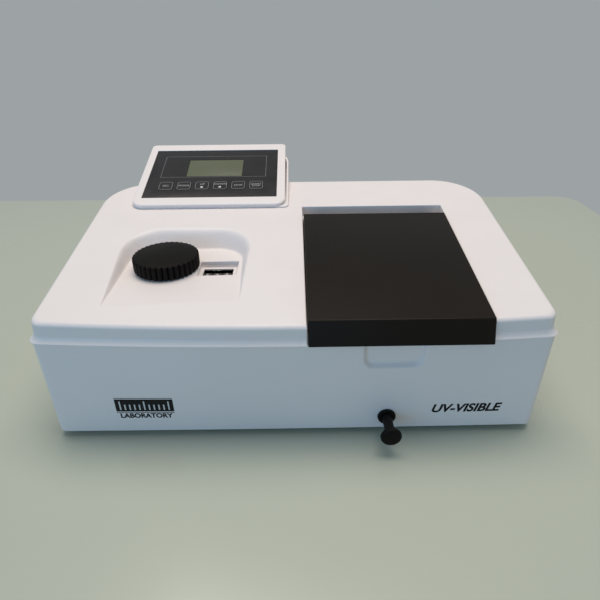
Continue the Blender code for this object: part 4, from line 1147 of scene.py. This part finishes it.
def display_keys():
    for i, words in enumerate(KEY_WORDS):
        body = f"key_{i + 1}_cap"
        outline = key_outline(i)
        cap = to_panel(soft_prism("Z", outline, 3.3, -2.6, 0.35, 0.25, 3, 0.05, 8))
        add_piece(f"key_{i + 1}_top", cap, body, "keypad_film", [f"key_{i + 1}"])
        ring = line_frame(lambda inset, o=outline: rounded(o, 3.3, 0.45 + inset, 8), 0.5, 0.385)
        add_piece(f"key_{i + 1}_line", ring, body, "keypad_film", material=FILM_INK)
        x = KEY_FIRST_X + KEY_PITCH * i
        dotted = i in DOTTED_KEYS
        lift = 2.4 if dotted else 0.0
        size = 3.8 if "\n" in words else 4.3

        def place(u, v, w, x=x, lift=lift):
            return panel_point(x + u, KEY_MIDDLE + lift + v, 0.38 + w)

        word = f"key_{i + 1}_word"
        printed_text(word, words, size, place, body, "keypad_film", KEY_INK, weight=0.04)
        if dotted:
            spot = panel_prism(circle(1.5, 28, (x, KEY_MIDDLE - 3.2)), 0.3, 0.39)
            add_piece(f"key_{i + 1}_dot", spot, body, "keypad_film", material=BRIGHT_INK)


def shell_ring(bottom, inset, height=-2.9):
    """A ring of the shell behind the panel; the bottom ones lie on the cover's slope."""
    high = PANEL[3] - 6.0 if bottom else PANEL[3] + 0.05
    plan = rectangle(PANEL[0] + 0.6, PANEL[1] + 3.6, PANEL[2] + LOW_SIDE_INSET, high)
    outline = rounded(plan, [11.0, 5.0, 38.0, 38.0], inset, 14)
    if not bottom:
        return ring_at("Z", outline, height)
    slope = math.atan(TAN_SLOPE)
    fall = math.tan(PANEL_TILT - slope)
    lift = (PANEL_Z - top_height(PANEL_Y)) * math.cos(slope) / math.cos(math.atan(fall))
    floor = 0.4 if inset == 0.0 else 2.4
    return [Vector((x, v, min(floor - lift - fall * v, -3.1))) for x, v in outline]


def display_shell():
    wall = 2.2
    rings = [shell_ring(True, 0.0)]
    for inset, height in ((0.0, -4.0), (0.12, -3.4), (0.45, -3.02), (0.9, -2.9)):
        rings.append(shell_ring(False, inset, height))
    hollow = loft([shell_ring(True, wall), shell_ring(False, wall, 0.1)])
    shell = to_panel(loft(rings))
    steps = [cut(to_panel(hollow))]
    add_piece("display_back_shell", shell, "housing", "cover_white", ["display_shell"], steps=steps)


# ---- knob and counter


def fluted(radius, depth):
    """A round outline of lobes with sharp valleys between them."""
    flutes = 36
    count = flutes * 10
    points = []
    for i in range(count):
        angle = 2 * math.pi * i / count
        lobe = abs(math.cos(flutes * angle / 2))
        reach = radius - depth * (1 - lobe) ** 1.3
        points.append((reach * math.cos(angle), reach * math.sin(angle)))
    return points


def wavelength_knob():
    low = KNOB_LOW.z
    high = KNOB_HIGH.z
    edge = (KNOB_HIGH.x - KNOB_LOW.x) / 2
    levels = [(3.3, 0.0, high - 4.0), (3.3, 0.0, low)]
    levels += [(edge - 3.0, 0.3, low), (edge - 1.1, 1.1, low + 0.2), (edge - 0.4, 1.5, low + 0.7)]
    levels += [(edge, 1.8, low + 1.6), (edge, 1.8, high - 3.2), (edge - 0.05, 1.8, high - 2.5)]
    levels += [(edge - 0.3, 1.7, high - 2.05), (edge - 0.75, 1.4, high - 1.8)]
    levels += [(edge - 2.15, 0.0, high - 1.62), (edge - 3.2, 0.0, high - 1.45)]
    for share in (0.86, 0.8, 0.7, 0.58, 0.45, 0.3, 0.15, 0.02):
        levels.append((edge * share, 0.0, high - 1.8 * share**2))
    centre = (KNOB_X, KNOB_Y, 0.0)
    rings = [ring_at("Z", fluted(reach, depth), z, centre) for reach, depth, z in levels]
    knob = loft(rings)
    add_piece("knob_cap", knob, "knob", "black_plastic", ["wavelength_knob"], KNOB_BLACK, 50.0)


def counter_drums():
    """Number drums that read 546 at rest, each with ten digits round it."""
    for place, shown in DRUMS:
        node = f"drum_{place}"
        body = f"{place}_drum"
        low, high = box_mm(node)
        middle = middle_mm(node)
        radius = (high.z - low.z) / 2
        profile = [(2.0, low.x), (radius - 0.3, low.x), (radius, low.x + 0.3)]
        profile += [(radius, high.x - 0.3), (radius - 0.3, high.x), (2.0, high.x)]
        ring = turned("X", profile, (0.0, middle[1], middle[2]), 80, closed=True)
        add_piece(f"{place}_wheel", ring, body, "black_plastic", [node], DRUM_GREY)
        for digit in range(10):
            turn = math.radians(36.0) * (digit - shown)

            def wrap(u, v, w, turn=turn, radius=radius, middle=middle):
                angle = turn - v / radius
                reach = radius + w
                x, y, z = middle
                return Vector((x + u, y - reach * math.sin(angle), z + reach * math.cos(angle)))

            name = f"{place}_digit_{digit}"
            printed_text(name, str(digit), 6.0, wrap, body, "black_plastic", BRIGHT_INK)


# ---- pull rod, feet and rear


def round_bar(node, back_edge, count):
    """A bar along Y in the place of a CAD node, with bevelled ends."""
    low, high = box_mm(node)
    x, _, z = middle_mm(node)
    radius = (high.x - low.x) / 2
    profile = [(radius - 0.4, low.y), (radius, low.y + 0.4)]
    profile += [(radius, high.y - back_edge), (radius - back_edge, high.y)]
    return turned("Y", profile, (x, 0.0, z), count)


def pull_rod():
    rod = round_bar("pull_rod", 0.5, 48)
    add_piece("carriage_pull_rod", rod, "carriage", "black_plastic", ["pull_rod"])

    x, _, z = middle_mm("pull_rod")
    line = (x, 0.0, z)
    front = box_mm("pull_rod_knob")[0].y
    knob = [(0.3, 3.7), (4.5, 3.7), (4.5, 8.5), (4.9, 8.5), (5.05, 8.2), (5.2, 7.0), (5.5, 5.9)]
    knob += [(6.2, 5.1), (7.4, 4.6), (8.3, 4.1), (8.75, 3.4), (8.8, 2.7), (8.7, 1.9), (8.3, 1.1)]
    knob += [(7.6, 0.5), (6.4, 0.15), (4.8, 0.02), (2.4, 0.0), (0.3, 0.0)]
    handle = turned("Y", [(radius, front + depth) for radius, depth in knob], line)
    add_piece("pull_knob", handle, "carriage", "black_plastic", ["pull_rod_knob"])

    sleeve = [(4.6, -4.4), (4.85, -4.6), (6.6, -4.6), (7.2, -4.45), (7.6, -4.05), (7.7, -3.5)]
    sleeve += [(7.7, -2.4), (5.1, -2.3), (5.1, 3.5), (4.6, 3.5)]
    bush = turned("Y", sleeve, line, 56, closed=True)
    add_piece("rod_bush", bush, "housing", "black_plastic", ["rod_escutcheon"])


def feet():
    for side in ("left", "right"):
        for end in ("front", "rear"):
            node = f"foot_{end}_{side}"
            x, y, _ = middle_mm(node)
            profile = [(3.4, 2.6), (3.6, 0.5), (3.9, 0.1), (4.3, 0.0), (8.0, 0.0), (8.7, 0.15)]
            profile += [(9.2, 0.55), (9.5, 1.3), (10.0, box_mm(node)[1].z)]
            foot = turned("Z", profile, (x, y, 0.0), 56)
            add_piece(f"rubber_{node}", foot, "housing", "black_rubber", [node])


def guide_rod():
    rod = round_bar("carriage_guide_rod", 0.4, 40)
    add_piece("guide_rod", rod, "housing", "steel", ["carriage_guide_rod"])


def front_plate(name, x0, x1, z0, z1, material, lift=0.10):
    """A patch of ink on the bowed front face."""
    columns = 12
    rings = []
    for k in range(columns + 1):
        x = x0 + (x1 - x0) * k / columns
        corners = ((z0, 0.05), (z1, 0.05), (z1, -lift), (z0, -lift))
        rings.append([Vector((x, base_front(x, z) + depth, z)) for z, depth in corners])
    add_piece(name, loft(rings), "housing", "black_plastic", material=material)


def front_word(name, words, size, x, z, slant, weight):
    def place(u, v, w):
        return Vector((x + u, base_front(x + u, z + v) - 0.05 - w, z + v))

    finish = ("housing", "black_plastic", BLACK_INK)
    printed_text(name, words, size, place, *finish, slant, 0.1, weight)


def front_marks():
    """Generic printing: a scale block over a word at the left, and a word at the right."""
    bars = (("block", 29.4, 43.0), ("line_over", 44.0, 44.6), ("line_under", 27.8, 28.4))
    for name, low, high in bars:
        front_plate(f"scale_{name}", SCALE_LEFT, SCALE_RIGHT, low, high, BLACK_INK)
    for i in range(SCALE_MARKS):
        x = SCALE_FIRST_MARK + SCALE_PITCH * i
        top = SCALE_MARK_FOOT + (9.6 if i % 5 == 0 else 6.0)
        front_plate(f"scale_mark_{i + 1}", x - 0.6, x + 0.6, SCALE_MARK_FOOT, top, BRIGHT_INK, 0.14)
    front_word("use_word", "LABORATORY", 6.9, -128.0, 24.3, 0.0, 0.27)
    front_word("type_word", "UV-VISIBLE", 12.4, 144.9, 27.4, 0.25, 0.42)


# ---- pieces that keep their CAD shape


def dress_cad_nodes():
    """Every CAD piece that is still shown gets its finish and a small round on its edges."""
    slots = {row["node"]: row["material_slot"] for row in frame["record"]["subparts"]}
    for name, node in frame["nodes"].items():
        if node.hide_render:
            continue
        node.data.materials.clear()
        node.data.materials.append(FINISHES[slots[name]])
        weld = node.modifiers.new("weld", "WELD")
        weld.merge_threshold = 0.000001
        bevel = node.modifiers.new("edge", "BEVEL")
        bevel.width = 0.00025
        bevel.segments = 2
        bevel.limit_method = "ANGLE"
        bevel.angle_limit = math.radians(50.0)


def add_floor():
    plan = [(-1500.0, -760.0), (552.0, -760.0), (552.0, 643.0), (-1500.0, 666.0)]
    levels = ((0.0, -20.0), (0.0, -3.2), (0.9, -1.1), (3.0, -0.2))
    rings = [ring_at("Z", rounded(plan, 40.0, inset, 12), z) for inset, z in levels]
    floor = raw_object("bench", loft(rings))
    floor.data.materials.append(bench_top())


add_camera()
add_studio()
add_floor()
base_housing()
top_cover()
sample_lid()
display_bezel()
display_film()
display_keys()
display_shell()
wavelength_knob()
counter_drums()
pull_rod()
feet()
guide_rod()
front_marks()
dress_cad_nodes()
